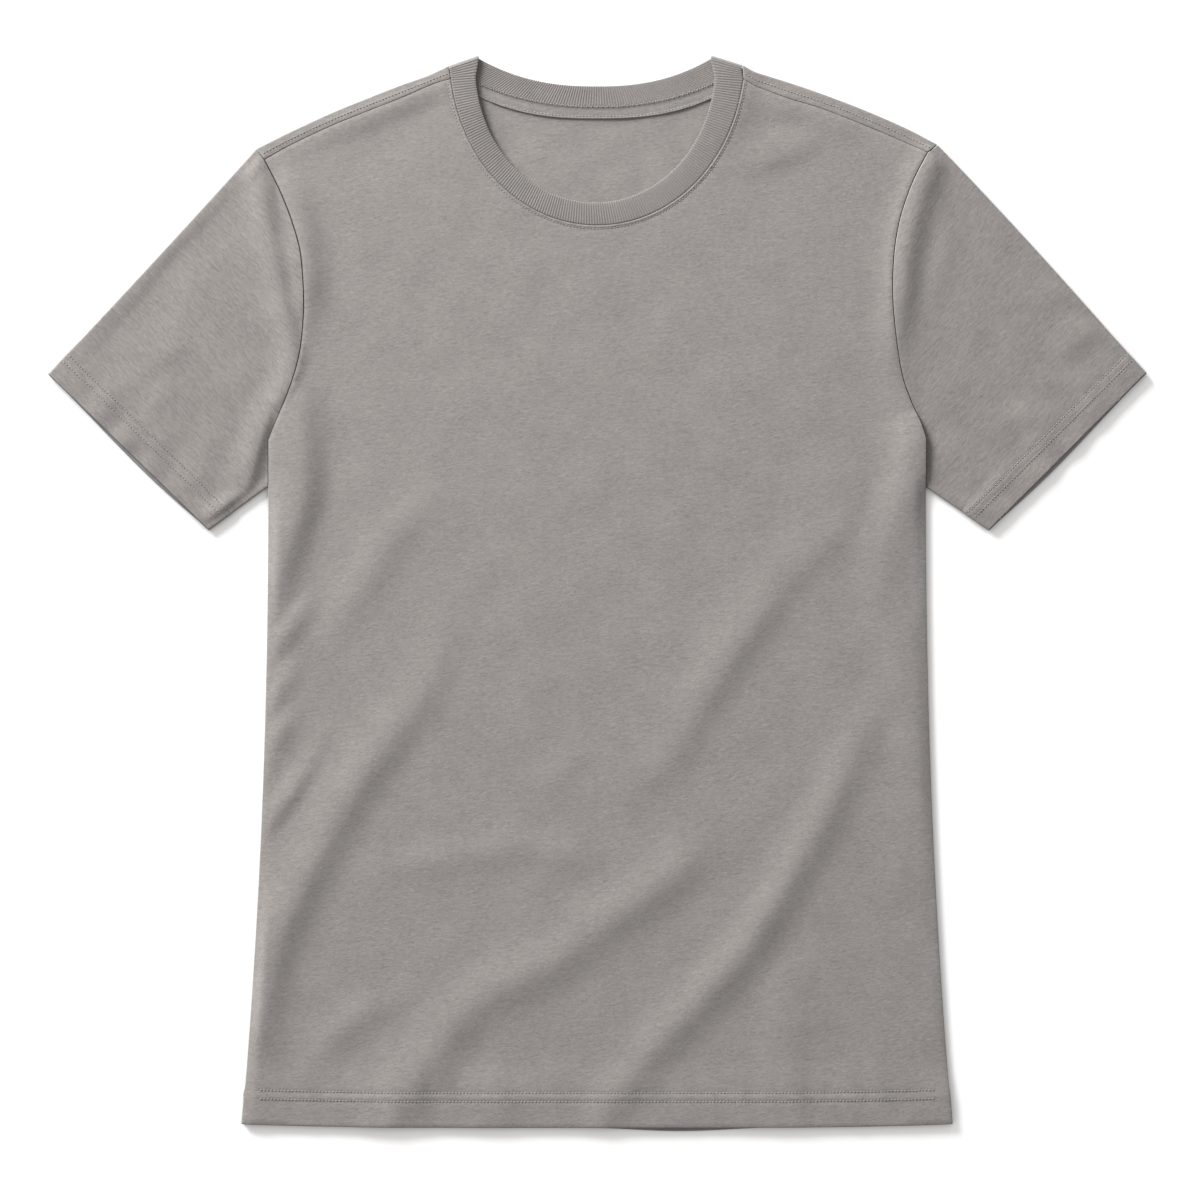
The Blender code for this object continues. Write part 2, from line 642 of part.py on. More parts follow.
def build_front():
    """The front panel, lying on top, from its hem to the neck and the shoulder seams."""
    seams = {side: shoulder_seam(side)[1:-1] for side in (LEFT, RIGHT)}
    neck = neck_seam()[1:-1][::-1]
    outline, _ = body_outline(seams, neck, HEM_Y, 0.0)
    outline = inset(outline, [SEAM_GAP / 2] * len(outline))
    hem_rows = [
        spaced(((-1.02 * HALF_CHEST, HEM_Y + rise), (1.02 * HALF_CHEST, HEM_Y + rise)), HEM_PARTS)
        for rise in (BODY_HEM_DEPTH - 2.0, BODY_HEM_DEPTH + 2.0)
    ]

    def raised(points):
        return np.abs(fold_lift(points, BODY_FOLDS + ARMHOLE_FOLDS)) > FOLD_SHOWS

    points, faces = fill(outline, raised, hem_rows)
    thickness = JERSEY + (HEM - JERSEY) * hem_share(points, HEM_Y, BODY_HEM_DEPTH)
    wall = Wall()
    numbers = [
        wall.point(x, y, z, (0.0, 0.0, -t))
        for (x, y), z, t in zip(points, front_height(points), thickness)
    ]
    wall.faces = [tuple(numbers[k] for k in face) for face in faces]
    return wall.build("front")


def turn_over(wall, axis, outward, seam):
    """The strip of the back that turns over the shoulder and reaches the seam in front."""
    rows = []
    for step in range(FOLD_STEPS + 1):
        angle = math.pi * step / FOLD_STEPS - math.pi / 2
        rows.append([])
        for point, out, lift in zip(axis, outward, neck_lift(axis)):
            x, y = point + out * FOLD_RADIUS * math.cos(angle)
            z = (FOLD_RADIUS + lift / 2) * (1 + math.sin(angle))
            inward = (*(-out * math.cos(angle) * JERSEY), -math.sin(angle) * JERSEY)
            rows[-1].append(wall.point(x, y, z, inward))
    height = LAYERED + neck_lift(seam) + fold_lift(seam, BODY_FOLDS + ARMHOLE_FOLDS)
    rows.append([wall.point(x, y, z, (0.0, 0.0, -JERSEY)) for (x, y), z in zip(seam, height)])
    wall.grid(rows)


def build_back():
    """The back panel, lying flat below, with its two shoulders turned over to the front."""
    edges = {side: shoulder_edge(side) for side in (LEFT, RIGHT)}
    outward, axes = {}, {}
    for side, edge in edges.items():
        seam = shoulder_seam(side)
        outward[side] = np.array([unit(side * turned(way)) for way in np.gradient(edge, axis=0)])
        for end in (0, -1):
            way = unit(edge[end] - seam[end])
            outward[side][end] = way / (way @ outward[side][end])
        axes[side] = edge - outward[side] * FOLD_RADIUS
    neck = back_seam()
    outline, starts = body_outline(axes, neck, BACK_HEM_Y, BACK_PEEK)
    gaps = np.full(len(outline), SEAM_GAP / 2)
    gaps[starts[4] : starts[5] - 1] = 0.0
    gaps[starts[6] : starts[7] - 1] = 0.0
    outline = inset(outline, gaps)
    turned_axes = {
        RIGHT: outline[starts[4] : starts[5]][::-1],
        LEFT: outline[starts[6] : starts[7]],
    }
    points, faces = fill(outline, lambda grid: np.zeros(len(grid), dtype=bool))
    thickness = JERSEY + (HEM - JERSEY) * hem_share(points, BACK_HEM_Y, BODY_HEM_DEPTH)
    wall = Wall()
    numbers = [
        wall.point(x, y, 0.0, (0.0, 0.0, t)) for (x, y), t in zip(points, thickness)
    ]
    wall.faces = [tuple(numbers[k] for k in face[::-1]) for face in faces]
    for side, axis in turned_axes.items():
        seam = shoulder_seam(side)
        strip = np.vstack((edges[side], seam[::-1]))[:: -side]
        gap = inset(strip, [SEAM_GAP / 2] * len(strip))[:: -side]
        turn_over(wall, axis, outward[side], gap[len(edges[side]) :][::-1])
    return wall.build("back")


def sleeve_lines(side):
    """Plan curves across a sleeve: at the armhole, at the top of the hem and at the cuff."""
    corner = SIDES[side]
    armhole_line = np.vstack((corner.shoulder, armhole(side), gusset(side)[1:]))
    ways = np.gradient(armhole_line, axis=0)
    ways[0] = armhole_line[1] - armhole_line[0]
    off = np.array([unit(side * turned(way)) for way in ways]) * SEAM_GAP / 2
    armhole_line = armhole_line + off
    steps = np.linalg.norm(np.diff(armhole_line, axis=0), axis=1)
    shares = np.concatenate(([0.0], np.cumsum(steps))) / steps.sum()
    top, foot = np.array(corner.cuff_top), np.array(corner.cuff_foot)
    inward = side * turned(unit(foot - top)) * -1.0
    lines = [armhole_line]
    for depth in (CUFF_DEPTH, 0.0):
        ends = []
        for end, root in ((top, armhole_line[0]), (foot, armhole_line[-1])):
            way = unit(root - end)
            ends.append(end + way * depth / (way @ inward))
        lines.append(ends[0] + shares[:, None] * (ends[1] - ends[0]))
    return [trimmed(line) for line in lines], -inward


def trimmed(line):
    """A plan curve with both ends drawn in by the fold's radius."""
    line = line.copy()
    line[0] += FOLD_RADIUS * unit(line[1] - line[0])
    line[-1] += FOLD_RADIUS * unit(line[-2] - line[-1])
    return line


def sleeve_ring(wall, line, radius, thickness, lift, reach):
    """Point numbers round one flattened ring of a sleeve, over the top and back below.

    reach is how far each point of the lower layer is moved, as plan vectors.
    """
    top = 2 * radius
    ring = [
        wall.point(x, y, top + up, (0.0, 0.0, -thickness)) for (x, y), up in zip(line, lift)
    ]
    low = line + reach
    for end, (upper, lower, out) in enumerate(
        ((line[-1], low[-1], unit(line[-1] - line[-2])), (line[0], low[0], unit(line[0] - line[1])))
    ):
        if end == 1:
            ring += [wall.point(x, y, 0.0, (0.0, 0.0, thickness)) for x, y in low[::-1]]
        for step in range(1, FOLD_STEPS):
            angle = math.pi / 2 - math.pi * step / FOLD_STEPS
            angle = -angle if end == 1 else angle
            share = (1 - math.sin(angle)) / 2
            x, y = upper + share * (lower - upper) + out * radius * math.cos(angle)
            inward = (*(-out * math.cos(angle) * thickness), -math.sin(angle) * thickness)
            ring.append(wall.point(x, y, radius * (1 + math.sin(angle)), inward))
    return ring


def build_sleeve(side):
    """A short sleeve: a flattened tube from the armhole to its turned-up cuff."""
    (start, hem_top, cuff), onward = sleeve_lines(side)
    wall = Wall()
    rows = []
    edge = np.linspace(0.0, 1.0, len(start))
    calm = ease(0.0, SLEEVE_CALM, edge) * ease(0.0, SLEEVE_CALM, 1.0 - edge)
    opening = np.sin(math.pi * edge**CUFF_SKEW) ** CUFF_TAPER
    bow = SIDES[side].bow * side * turned(unit(cuff[0] - start[0]))
    stations = [
        (share, 0.0, JERSEY, CUFF_GROWTH * ease(1.0 - CUFF_GROWS, 1.0, share))
        for share in np.linspace(0.0, 1.0, SLEEVE_PARTS)
    ]
    stations += [(1.0, hem, HEM, 1.0) for hem in (CUFF_STEP, 1.0)]
    for share, hem, thickness, grown in stations:
        line = start + share * (hem_top - start) + hem * (cuff - hem_top)
        line = line + 4 * share * (1 - share) * (1 - edge[:, None]) * bow
        from_gusset = nearest(line, gusset(side))[0]
        sink = ARMPIT_SINK * bump(from_gusset, ARMPIT_SINK_WIDTH)
        lift = calm * (fold_lift(line, ARMHOLE_FOLDS + SLEEVE_FOLDS) - sink)
        radius = FOLD_RADIUS + (CUFF_RADIUS - FOLD_RADIUS) * grown
        reach = UNDER_CUFF_REACH * hem * opening[:, None] * onward
        rows.append(
            sleeve_ring(wall, line, radius, thickness, lift + CUFF_GAPE * hem * opening, reach)
        )
    wall.grid(rows, closed=True)
    return wall.build("sleeve_left" if side == LEFT else "sleeve_right")


def band_section(edge, seam, out, angle, height):
    """Corners of the rib band's section, from its free edge to its seam and back.

    The band stands height above the bend's centre, turned by angle about it.
    """
    across = unit(seam - edge)
    width = np.linalg.norm(seam - edge) - SEAM_GAP / 2
    shape = (
        (BAND_LIP, RIB),
        (0.0, RIB - BAND_LIP),
        (0.0, BAND_LIP),
        (BAND_LIP, 0.0),
        (width, 0.0),
        (width, RIB),
        (width / 2, RIB + BAND_CROWN * max(0.0, math.sin(angle))),
    )
    corners = []
    for along, up in shape:
        reach = height + up
        x, y = edge + across * along + out * reach * math.cos(angle)
        corners.append((x, y, band_radius() + reach * math.sin(angle)))
    return corners


def build_collar():
    """The rib band: on top at the front, turned over beside the neck, flat at the back."""
    inner = band_radius() - RIB
    sections = []
    for edge, seam in zip(neck_edge(), neck_seam()):
        sink = (BAND_TURN - BAND_FRONT) * (1.0 - ease(*BAND_SINKS, seam[1]))
        sections.append(band_section(edge, seam, np.zeros(2), math.pi / 2, inner - sink))
    for side, angles in ((RIGHT, range(FOLD_STEPS - 1, 0, -1)), (LEFT, range(1, FOLD_STEPS))):
        edge, seam = collar_axis(side)
        if side == LEFT:
            for low_edge, low_seam in zip(back_edge(), back_seam()):
                sections.append(
                    band_section(low_edge, low_seam, np.zeros(2), -math.pi / 2, inner)
                )
        for step in angles:
            angle = math.pi * step / FOLD_STEPS - math.pi / 2
            sections.append(band_section(edge, seam, collar_outward(side), angle, inner))
    mesh = bmesh.new()
    rings = [[mesh.verts.new(Vector(p) * MM) for p in section] for section in sections]
    for ring, following in zip(rings, rings[1:] + rings[:1]):
        for k in range(len(ring)):
            n = (k + 1) % len(ring)
            mesh.faces.new((ring[k], ring[n], following[n], following[k]))
    return make_object("collar", mesh)


def build_tape():
    """The tape sewn over the back neck seam, lying on the back panel."""
    x = np.linspace(-TAPE_HALF_LENGTH, TAPE_HALF_LENGTH, BACK_NECK_PARTS + 1)
    seam = back_seam()[::-1]
    top = np.interp(x, seam[:, 0], seam[:, 1]) - SEAM_GAP
    low = BACK_SEAM_Y - SEAM_GAP - TAPE_WIDTH
    rise = (top[0] - TAPE_WIDTH - low) * (np.abs(x) / TAPE_HALF_LENGTH) ** TAPE_LOW_POWER
    wall = Wall()
    height = JERSEY + SEAM_GAP + TAPE
    rows = [
        [wall.point(px, py, height, (0.0, 0.0, -TAPE)) for px, py in zip(x, line)]
        for line in (low + rise, top)
    ]
    wall.grid(rows)
    return wall.build("neck_tape")


def main():
    """Clears the scene and makes the shirt's pieces."""
    for old in list(bpy.data.objects):
        bpy.data.objects.remove(old, do_unlink=True)
    build_back()
    build_front()
    build_sleeve(LEFT)
    build_sleeve(RIGHT)
    build_tape()
    build_collar()


main()
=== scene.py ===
"""Crew neck t-shirt of grey cotton jersey, laid flat on its back with the front up.

Sizes are millimetres in the shirt's own axes. X runs across the body with 0 on its centre line,
Y runs up the body with 0 half way between the hem and the top of the neck, and Z is height above
the surface the shirt lies on. The meshes are made in metres in the same axes.
"""

import logging
import math
from dataclasses import dataclass, field
from enum import Enum
from functools import cached_property
from typing import Callable, NamedTuple, Sequence

import bmesh
import bpy
import numpy as np
from bpy.types import Material, NodeTree, Object
from bpy.types import NodeSocket as Socket
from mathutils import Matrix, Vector
from mathutils.geometry import delaunay_2d_cdt


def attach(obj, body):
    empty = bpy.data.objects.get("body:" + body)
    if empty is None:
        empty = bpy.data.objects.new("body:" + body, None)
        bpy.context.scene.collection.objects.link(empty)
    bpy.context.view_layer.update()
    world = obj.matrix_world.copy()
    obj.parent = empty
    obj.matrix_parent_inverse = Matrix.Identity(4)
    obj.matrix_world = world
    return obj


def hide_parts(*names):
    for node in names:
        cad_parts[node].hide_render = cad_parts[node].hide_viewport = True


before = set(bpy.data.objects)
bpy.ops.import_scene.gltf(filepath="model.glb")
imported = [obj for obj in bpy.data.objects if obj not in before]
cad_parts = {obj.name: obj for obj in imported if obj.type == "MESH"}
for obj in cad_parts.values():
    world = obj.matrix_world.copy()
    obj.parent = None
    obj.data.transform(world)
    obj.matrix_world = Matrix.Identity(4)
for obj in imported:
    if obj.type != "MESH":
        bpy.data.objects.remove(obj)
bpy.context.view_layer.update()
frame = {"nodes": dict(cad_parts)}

MM = 0.001
BODY = "root"
LOG = logging.getLogger("t_shirt")

Array = np.ndarray
Pair = tuple[float, float]
Face = tuple[int, ...]
# Middles of some stitches, their ways and the ways up from the cloth.
Frames = tuple[Array, Array, Array]

# Sine of the turn below which an outline's corner counts as part of a smooth curve.
NEARLY_STRAIGHT = 0.25
# Shade painted on the rims where the cloth turns down into a seam, for the shade that falls in its
# groove.
SEAM_PAINTED_SHADE = 0.6
# Share of the usual clearance that rows of points along a seam keep from the outline.
BAND_CLEAR = 0.4
# How many plane waves an uneven relief is made of, and how far its peaks pass its usual height.
WAVE_COUNT = 9
WAVE_PEAK = 1.6
# How round a folded edge of cloth is: 1 gives a half round, less a squarer edge.
FOLD_ROUNDNESS = 0.6


class Side(Enum):
    """The two sides of the shirt, with the sign of X on each."""

    LEFT = -1
    RIGHT = 1


class Slot(Enum):
    """The record's material slots; each piece holds one."""

    JERSEY = "jersey"
    RIB = "rib"
    TAPE = "tape"


# ---- plan geometry


def unit(vector: Sequence[float]) -> Array:
    """Returns the vector with length 1."""
    return np.asarray(vector, dtype=float) / np.linalg.norm(vector)


def turned(vector: Sequence[float]) -> Array:
    """Returns a plan vector turned a quarter turn to the left."""
    return np.array((-vector[1], vector[0]))


def ease(low: float, high: float, value: Array | float) -> Array:
    """Smooth step between two values.

    Args:
        low: Where the step starts.
        high: Where it ends.
        value: Where it is read.

    Returns:
        0 below low, 1 above high and a smooth rise between them.
    """
    share = np.clip((np.asarray(value, dtype=float) - low) / (high - low), 0.0, 1.0)
    return share * share * (3.0 - 2.0 * share)


def fold_round(angle: Array | float) -> tuple[Array, Array]:
    """Shape of a folded edge of cloth, that is flatter on top and below than a half round.

    Args:
        angle: The turn from straight out, between a quarter turn down and a quarter turn up.

    Returns:
        How far out and how far up the edge lies, as shares of its radius.
    """
    out, up = np.cos(angle), np.sin(angle)
    return np.abs(out) ** FOLD_ROUNDNESS, np.sign(up) * np.abs(up) ** FOLD_ROUNDNESS


def bump_at(away: Array, width: float | Array) -> Array:
    """Returns a round hump of height 1, that has fallen to 0.37 one width away."""
    return np.exp(-((away / width) ** 2))


def lengths(points: Array) -> Array:
    """Returns how far along a polyline each of its points lies."""
    steps = np.linalg.norm(np.diff(points, axis=0), axis=1)
    return np.concatenate(([0.0], np.cumsum(steps)))


def spaced(points: Sequence[Sequence[float]], parts: int) -> Array:
    """Cuts a polyline into equal lengths.

    Args:
        points: Its corners.
        parts: How many lengths are wanted.

    Returns:
        The parts + 1 points.
    """
    points = np.asarray(points, dtype=float)
    along = lengths(points)
    wanted = np.linspace(0.0, along[-1], parts + 1)
    return np.column_stack([np.interp(wanted, along, column) for column in points.T])


def smooth(points: Sequence[Sequence[float]], parts: int) -> Array:
    """Draws a smooth curve through points and cuts it into equal lengths.

    Args:
        points: The points it passes through.
        parts: How many lengths are wanted.

    Returns:
        The parts + 1 points.
    """
    points = np.asarray(points, dtype=float)
    ends = np.vstack((2 * points[0] - points[1], points, 2 * points[-1] - points[-2]))
    share = np.linspace(0.0, 1.0, 13)[:-1, None]
    cube, square = share**3, share**2
    runs = []
    for before, start, end, after in zip(ends, ends[1:], ends[2:], ends[3:]):
        leave, arrive = (end - before) / 2, (after - start) / 2
        runs.append(
            (2 * cube - 3 * square + 1) * start + (cube - 2 * square + share) * leave
            + (3 * square - 2 * cube) * end + (cube - square) * arrive
        )
    return spaced(np.vstack(runs + [points[-1:]]), parts)


def nearest(points: Array, path: Array) -> tuple[Array, Array]:
    """Finds how far points lie from a path.

    Args:
        points: Plan points.
        path: The path's corners.

    Returns:
        The signed distance of each point, positive to the left of the path, and the share of the
        path's length at which it comes nearest.
    """
    best = np.full(len(points), np.inf)
    signed = np.zeros(len(points))
    along = np.zeros(len(points))
    length = np.linalg.norm(np.diff(path, axis=0), axis=1)
    before = lengths(path)
    for index, (start, end) in enumerate(zip(path, path[1:])):
        way = (end - start) / length[index]
        offset = points - start
        share = np.clip(offset @ way, 0.0, length[index])
        away = np.hypot(*(offset - share[:, None] * way).T)
        closer = away < best
        side = np.where(way[0] * offset[:, 1] - way[1] * offset[:, 0] < 0.0, -1.0, 1.0)
        best = np.where(closer, away, best)
        signed = np.where(closer, side * away, signed)
        along = np.where(closer, (before[index] + share) / before[-1], along)
    return signed, along


def inside(points: Array, outline: Array) -> Array:
    """Tells which points lie within a closed outline.

    Args:
        points: Plan points.
        outline: Its corners.

    Returns:
        True for each point whose line to the left crosses the outline an odd number of times.
    """
    crossings = np.zeros(len(points), dtype=int)
    for (x0, y0), (x1, y1) in zip(outline, np.roll(outline, -1, axis=0)):
        if y0 == y1:
            continue
        spans = (points[:, 1] >= min(y0, y1)) & (points[:, 1] < max(y0, y1))
        reach = x0 + (points[:, 1] - y0) * (x1 - x0) / (y1 - y0)
        crossings += spans & (points[:, 0] < reach)
    return crossings % 2 == 1


def inset(outline: Array, gaps: Array) -> Array:
    """Moves the edges of an outline inwards.

    Args:
        outline: Its corners, counter-clockwise.
        gaps: How far the edge that starts at each corner moves.

    Returns:
        The moved corners.
    """
    moved = []
    count = len(outline)
    for index, point in enumerate(outline):
        before = turned(unit(point - outline[index - 1]))
        after = turned(unit(outline[(index + 1) % count] - point))
        first, second = gaps[index - 1], gaps[index]
        cross = before[0] * after[1] - before[1] * after[0]
        if abs(cross) < NEARLY_STRAIGHT:
            moved.append(point + (first + second) / 2 * unit(before + after))
            continue
        x = (first * after[1] - second * before[1]) / cross
        y = (second * before[0] - first * after[0]) / cross
        moved.append(point + np.array((x, y)))
    return np.array(moved)


def offset_line(line: Array, away: float) -> Array:
    """Returns an open line moved away to its left."""
    ways = np.gradient(line, axis=0)
    return line + away * np.array([turned(unit(way)) for way in ways])


def area_of(outline: Array) -> float:
    """Returns the area within a closed outline."""
    x, y = outline.T
    return abs(float(np.dot(x, np.roll(y, -1)) - np.dot(y, np.roll(x, -1)))) / 2


def waves(points: Array, length: Pair, seed: int) -> Array:
    """Soft uneven relief made of a few plane waves in all directions.

    Args:
        points: Plan points.
        length: Typical wave length along X and along Y.
        seed: Starts the draw, so that the same relief comes each time.

    Returns:
        Heights of about -1 to 1.
    """
    draw = np.random.default_rng(seed)
    total = np.zeros(len(points))
    for _ in range(WAVE_COUNT):
        angle = draw.uniform(0.0, 2.0 * math.pi)
        stretch = draw.uniform(0.75, 1.4)
        pull = np.array((math.cos(angle), math.sin(angle))) * 2.0 * math.pi / stretch
        phase = draw.uniform(0.0, 2.0 * math.pi)
        total += np.sin(points @ (pull / np.asarray(length)) + phase)
    return total / math.sqrt(WAVE_COUNT / 2.0) / WAVE_PEAK


# ---- cloth sizes


@dataclass(frozen=True)
class Cloth:
    """Thicknesses of the cloth and the radii it turns over at."""

    jersey: float = 1.0
    hem: float = 1.6
    rib: float = 2.0
    seam_gap: float = 0.3
    fold_radius: float = 1.5
    cuff_radius: float = 1.9

    @property
    def layered(self) -> float:
        """Height of the top of two layers."""
        return 2.0 * self.fold_radius

    def wall(self, in_hem: Array | float) -> Array | float:
        """Returns the cloth's thickness where a share of it is turned-up hem."""
        return self.jersey + (self.hem - self.jersey) * in_hem


CLOTH = Cloth()


class ArmholeRow(NamedTuple):
    """How far the armhole seams stand from the centre line at one height."""

    y: float
    left: float
    right: float


class ShoulderRow(NamedTuple):
    """Heights of the shoulder's folded edge and of the seam forward of it at one place."""

    x: float
    edge_left: float
    edge_right: float
    seam_left: float
    seam_right: float


class Corners(NamedTuple):
    """Where the edges of one side of the shirt meet."""

    shoulder: Pair
    seam_end: Pair
    armpit: Pair
    underarm: Pair
    cuff_top: Pair
    cuff_foot: Pair
    bow: float
    collar_tip: Pair
    collar_end: Pair


@dataclass(frozen=True)
class Body:
    """Plan curves of the body: hems, side edges, armholes and shoulders."""

    half_chest: float = 229.8
    flare: float = 18.6
    flare_power: float = 2.1
    underarm_y: float = 74.5
    hem_y: float = -373.8
    back_hem_y: float = -373.5
    hem_corner_rise: float = 2.6
    back_peek: float = 2.8
    back_peek_x: float = 58.0
    back_peek_width: float = 48.0
    hem_depth: float = 25.0
    armhole_rows: tuple[ArmholeRow, ...] = (
        ArmholeRow(293, 226.9, 222.8),
        ArmholeRow(278, 219.7, 216.6),
        ArmholeRow(260, 212.8, 211.1),
        ArmholeRow(240, 207.2, 207.7),
        ArmholeRow(219, 205.1, 206.5),
        ArmholeRow(201, 204.7, 206.9),
        ArmholeRow(183, 205.8, 208.6),
        ArmholeRow(166, 208.2, 210.9),
        ArmholeRow(149, 212.9, 214.4),
        ArmholeRow(133, 219.0, 220.2),
        ArmholeRow(120, 224.6, 226.3),
    )
    shoulder_rows: tuple[ShoulderRow, ...] = (
        ShoulderRow(110, 366.1, 365.0, 357.7, 355.0),
        ShoulderRow(120, 361.6, 361.8, 353.9, 351.2),
        ShoulderRow(135, 356.4, 357.1, 347.3, 345.8),
        ShoulderRow(155, 348.7, 350.3, 339.3, 339.8),
        ShoulderRow(185, 336.5, 338.9, 327.3, 328.3),
        ShoulderRow(215, 322.7, 325.9, 313.2, 315.6),
    )
    corners: dict[Side, Corners] = field(
        default_factory=lambda: {
            Side.LEFT: Corners(
                shoulder=(-238.0, 311.2), seam_end=(-232.4, 303.5), armpit=(-229.8, 107.0),
                underarm=(-229.8, 74.5), cuff_top=(-384.3, 152.6), cuff_foot=(-272.3, 43.8),
                bow=-0.5, collar_tip=(-83.1, 376.3), collar_end=(-104.0, 369.0),
            ),
            Side.RIGHT: Corners(
                shoulder=(238.0, 314.0), seam_end=(231.0, 308.4), armpit=(230.1, 108.5),
                underarm=(229.9, 74.5), cuff_top=(384.7, 153.2), cuff_foot=(275.1, 43.8), bow=1.3,
                collar_tip=(80.0, 376.3), collar_end=(101.8, 369.5),
            ),
        }
    )

    def half_width(self, y: Array | float) -> Array:
        """Returns half the body's width at a height."""
        fall = (self.underarm_y - np.asarray(y, dtype=float)) / (self.underarm_y - self.hem_y)
        return self.half_chest + self.flare * np.clip(fall, 0.0, None) ** self.flare_power

    def hem_line(self, low: float, peek: float, parts: int) -> Array:
        """Returns a hem edge, that comes peek lower at one place, from left to right."""
        share = np.linspace(-1.0, 1.0, parts + 1)
        x = share * self.half_width(self.hem_y)
        drop = peek * bump_at(x - self.back_peek_x, self.back_peek_width)
        return np.column_stack((x, low + self.hem_corner_rise * share**4 - drop))

    def side_edge(self, side: Side, low: float, parts: int) -> Array:
        """Returns a side edge from the underarm down to just above the hem's corner."""
        high = self.corners[side].underarm[1]
        y = np.linspace(high, low + self.hem_corner_rise, parts + 1)[:-1]
        edge = np.column_stack((side.value * self.half_width(y), y))
        edge[0] = self.corners[side].underarm
        return edge

    def armhole(self, side: Side, parts: int) -> Array:
        """Returns the armhole seam from the end of the shoulder seam to the armpit."""
        word = side.name.lower()
        rows = [(side.value * getattr(row, word), row.y) for row in self.armhole_rows]
        corner = self.corners[side]
        return smooth([corner.seam_end, *rows, corner.armpit], parts)

    def gusset(self, side: Side, parts: int) -> Array:
        """Returns the body's edge from the armpit to the underarm."""
        return spaced((self.corners[side].armpit, self.corners[side].underarm), parts)

    def shoulder_line(
        self, side: Side, line: str, start: Sequence[float], end: Sequence[float], parts: int
    ) -> Array:
        """Draws one of the shoulder's lines from the neck outwards.

        Args:
            side: The shoulder.
            line: "edge" for its folded edge or "seam" for the seam in front of it.
            start: Where the line starts at the neck.
            end: Where it ends at the armhole.
            parts: How many lengths are wanted.

        Returns:
            The parts + 1 points.
        """
        column = f"{line}_{side.name.lower()}"
        rows = [(side.value * row.x, getattr(row, column)) for row in self.shoulder_rows]
        return smooth([start, *rows, end], parts)


BODICE = Body()


@dataclass(frozen=True)
class Neck:
    """Plan curves of the neck: the seam and the free edge of the rib band."""

    seam_centre: Pair = (0.0, 368.0)
    seam_half_width: float = 100.8
    seam_drop: float = 110.5
    seam_flare: float = 2.4
    seam_flare_power: float = 4.0
    edge_centre: Pair = (-1.3, 368.0)
    edge_half_width: float = 83.6
    edge_drop: float = 94.6
    back_seam_y: float = 340.6
    back_seam_power: float = 2.2
    back_edge_y: float = 355.0
    back_edge_power: float = 2.4
    step_down: float = 0.075
    band_turn: float = 2.7

    @property
    def band_radius(self) -> float:
        """Outer radius of the rib band where it turns over beside the neck."""
        return (self.band_turn + CLOTH.rib) / 2

    def outward(self, side: Side) -> Array:
        """Returns the plan direction in which the turned-over band bulges."""
        corner = BODICE.corners[side]
        along = unit(np.subtract(corner.collar_end, corner.collar_tip))
        return side.value * turned(along)

    def axis(self, side: Side) -> tuple[Array, Array]:
        """Returns the ends of the line the band turns over about: free edge, then seam."""
        corner = BODICE.corners[side]
        back = self.band_radius * self.outward(side)
        return np.array(corner.collar_tip) - back, np.array(corner.collar_end) - back

    def front_seam(self, parts: int) -> Array:
        """Returns the front neck seam from the left fold to the right one."""
        angle = self._angles(parts)
        flare = self.seam_flare * (1 - np.sin(angle)) ** self.seam_flare_power
        across = self.seam_half_width * np.cos(angle) + flare * np.sign(np.cos(angle))
        return self._front_curve(1, self.seam_centre, across, self.seam_drop * np.sin(angle))

    def front_edge(self, parts: int) -> Array:
        """Returns the band's free edge at the front, point for point beside the seam."""
        angle = self._angles(parts)
        across = self.edge_half_width * np.cos(angle)
        return self._front_curve(0, self.edge_centre, across, self.edge_drop * np.sin(angle))

    def _angles(self, parts: int) -> Array:
        """Returns the turns at which the front curves have their points, from left to right."""
        return np.linspace(self.step_down, math.pi - self.step_down, parts - 1)

    def _front_curve(self, end: int, centre: Pair, across: Array, drop: Array) -> Array:
        """Returns a curve below the neck's centre, joined to an end of each side's axis."""
        curve = np.column_stack((centre[0] - across, centre[1] - drop))
        return np.vstack((self.axis(Side.LEFT)[end], curve, self.axis(Side.RIGHT)[end]))

    def _back_curve(self, end: int, low: float, power: float, parts: int) -> Array:
        """Returns a curve across the back of the neck, from right to left."""
        left, right = self.axis(Side.LEFT)[end], self.axis(Side.RIGHT)[end]
        share = np.linspace(1.0, -1.0, parts + 1)
        x = np.where(share > 0, share * right[0], -share * left[0])
        top = np.where(share > 0, right[1], left[1])
        return np.column_stack((x, low + (top - low) * np.abs(share) ** power))

    def back_seam(self, parts: int) -> Array:
        """Returns the back neck seam from right to left."""
        return self._back_curve(1, self.back_seam_y, self.back_seam_power, parts)

    def back_edge(self, parts: int) -> Array:
        """Returns the band's free edge at the back from right to left."""
        return self._back_curve(0, self.back_edge_y, self.back_edge_power, parts)


NECK = Neck()
NECK_PARTS = 150


def shoulder_lines(side: Side, parts: int) -> tuple[Array, Array]:
    """Returns a shoulder's folded edge and the seam in front of it, from the neck outwards."""
    corner = BODICE.corners[side]
    on_neck = NECK.front_seam(NECK_PARTS)[1 if side is Side.LEFT else -2]
    edge = BODICE.shoulder_line(side, "edge", corner.collar_end, corner.shoulder, parts)
    seam = BODICE.shoulder_line(side, "seam", on_neck, corner.seam_end, parts)
    return edge, seam


# ---- relief of the top layer


class Fold(NamedTuple):
    """A soft ridge of the top layer, or a trough where its lift is below 0.

    Each point of its path holds x, y and lift. near is its width to the left of the path as it
    runs from its first point, far its width to the right.
    """

    name: str
    path: tuple[tuple[float, float, float], ...]
    near: float
    far: float


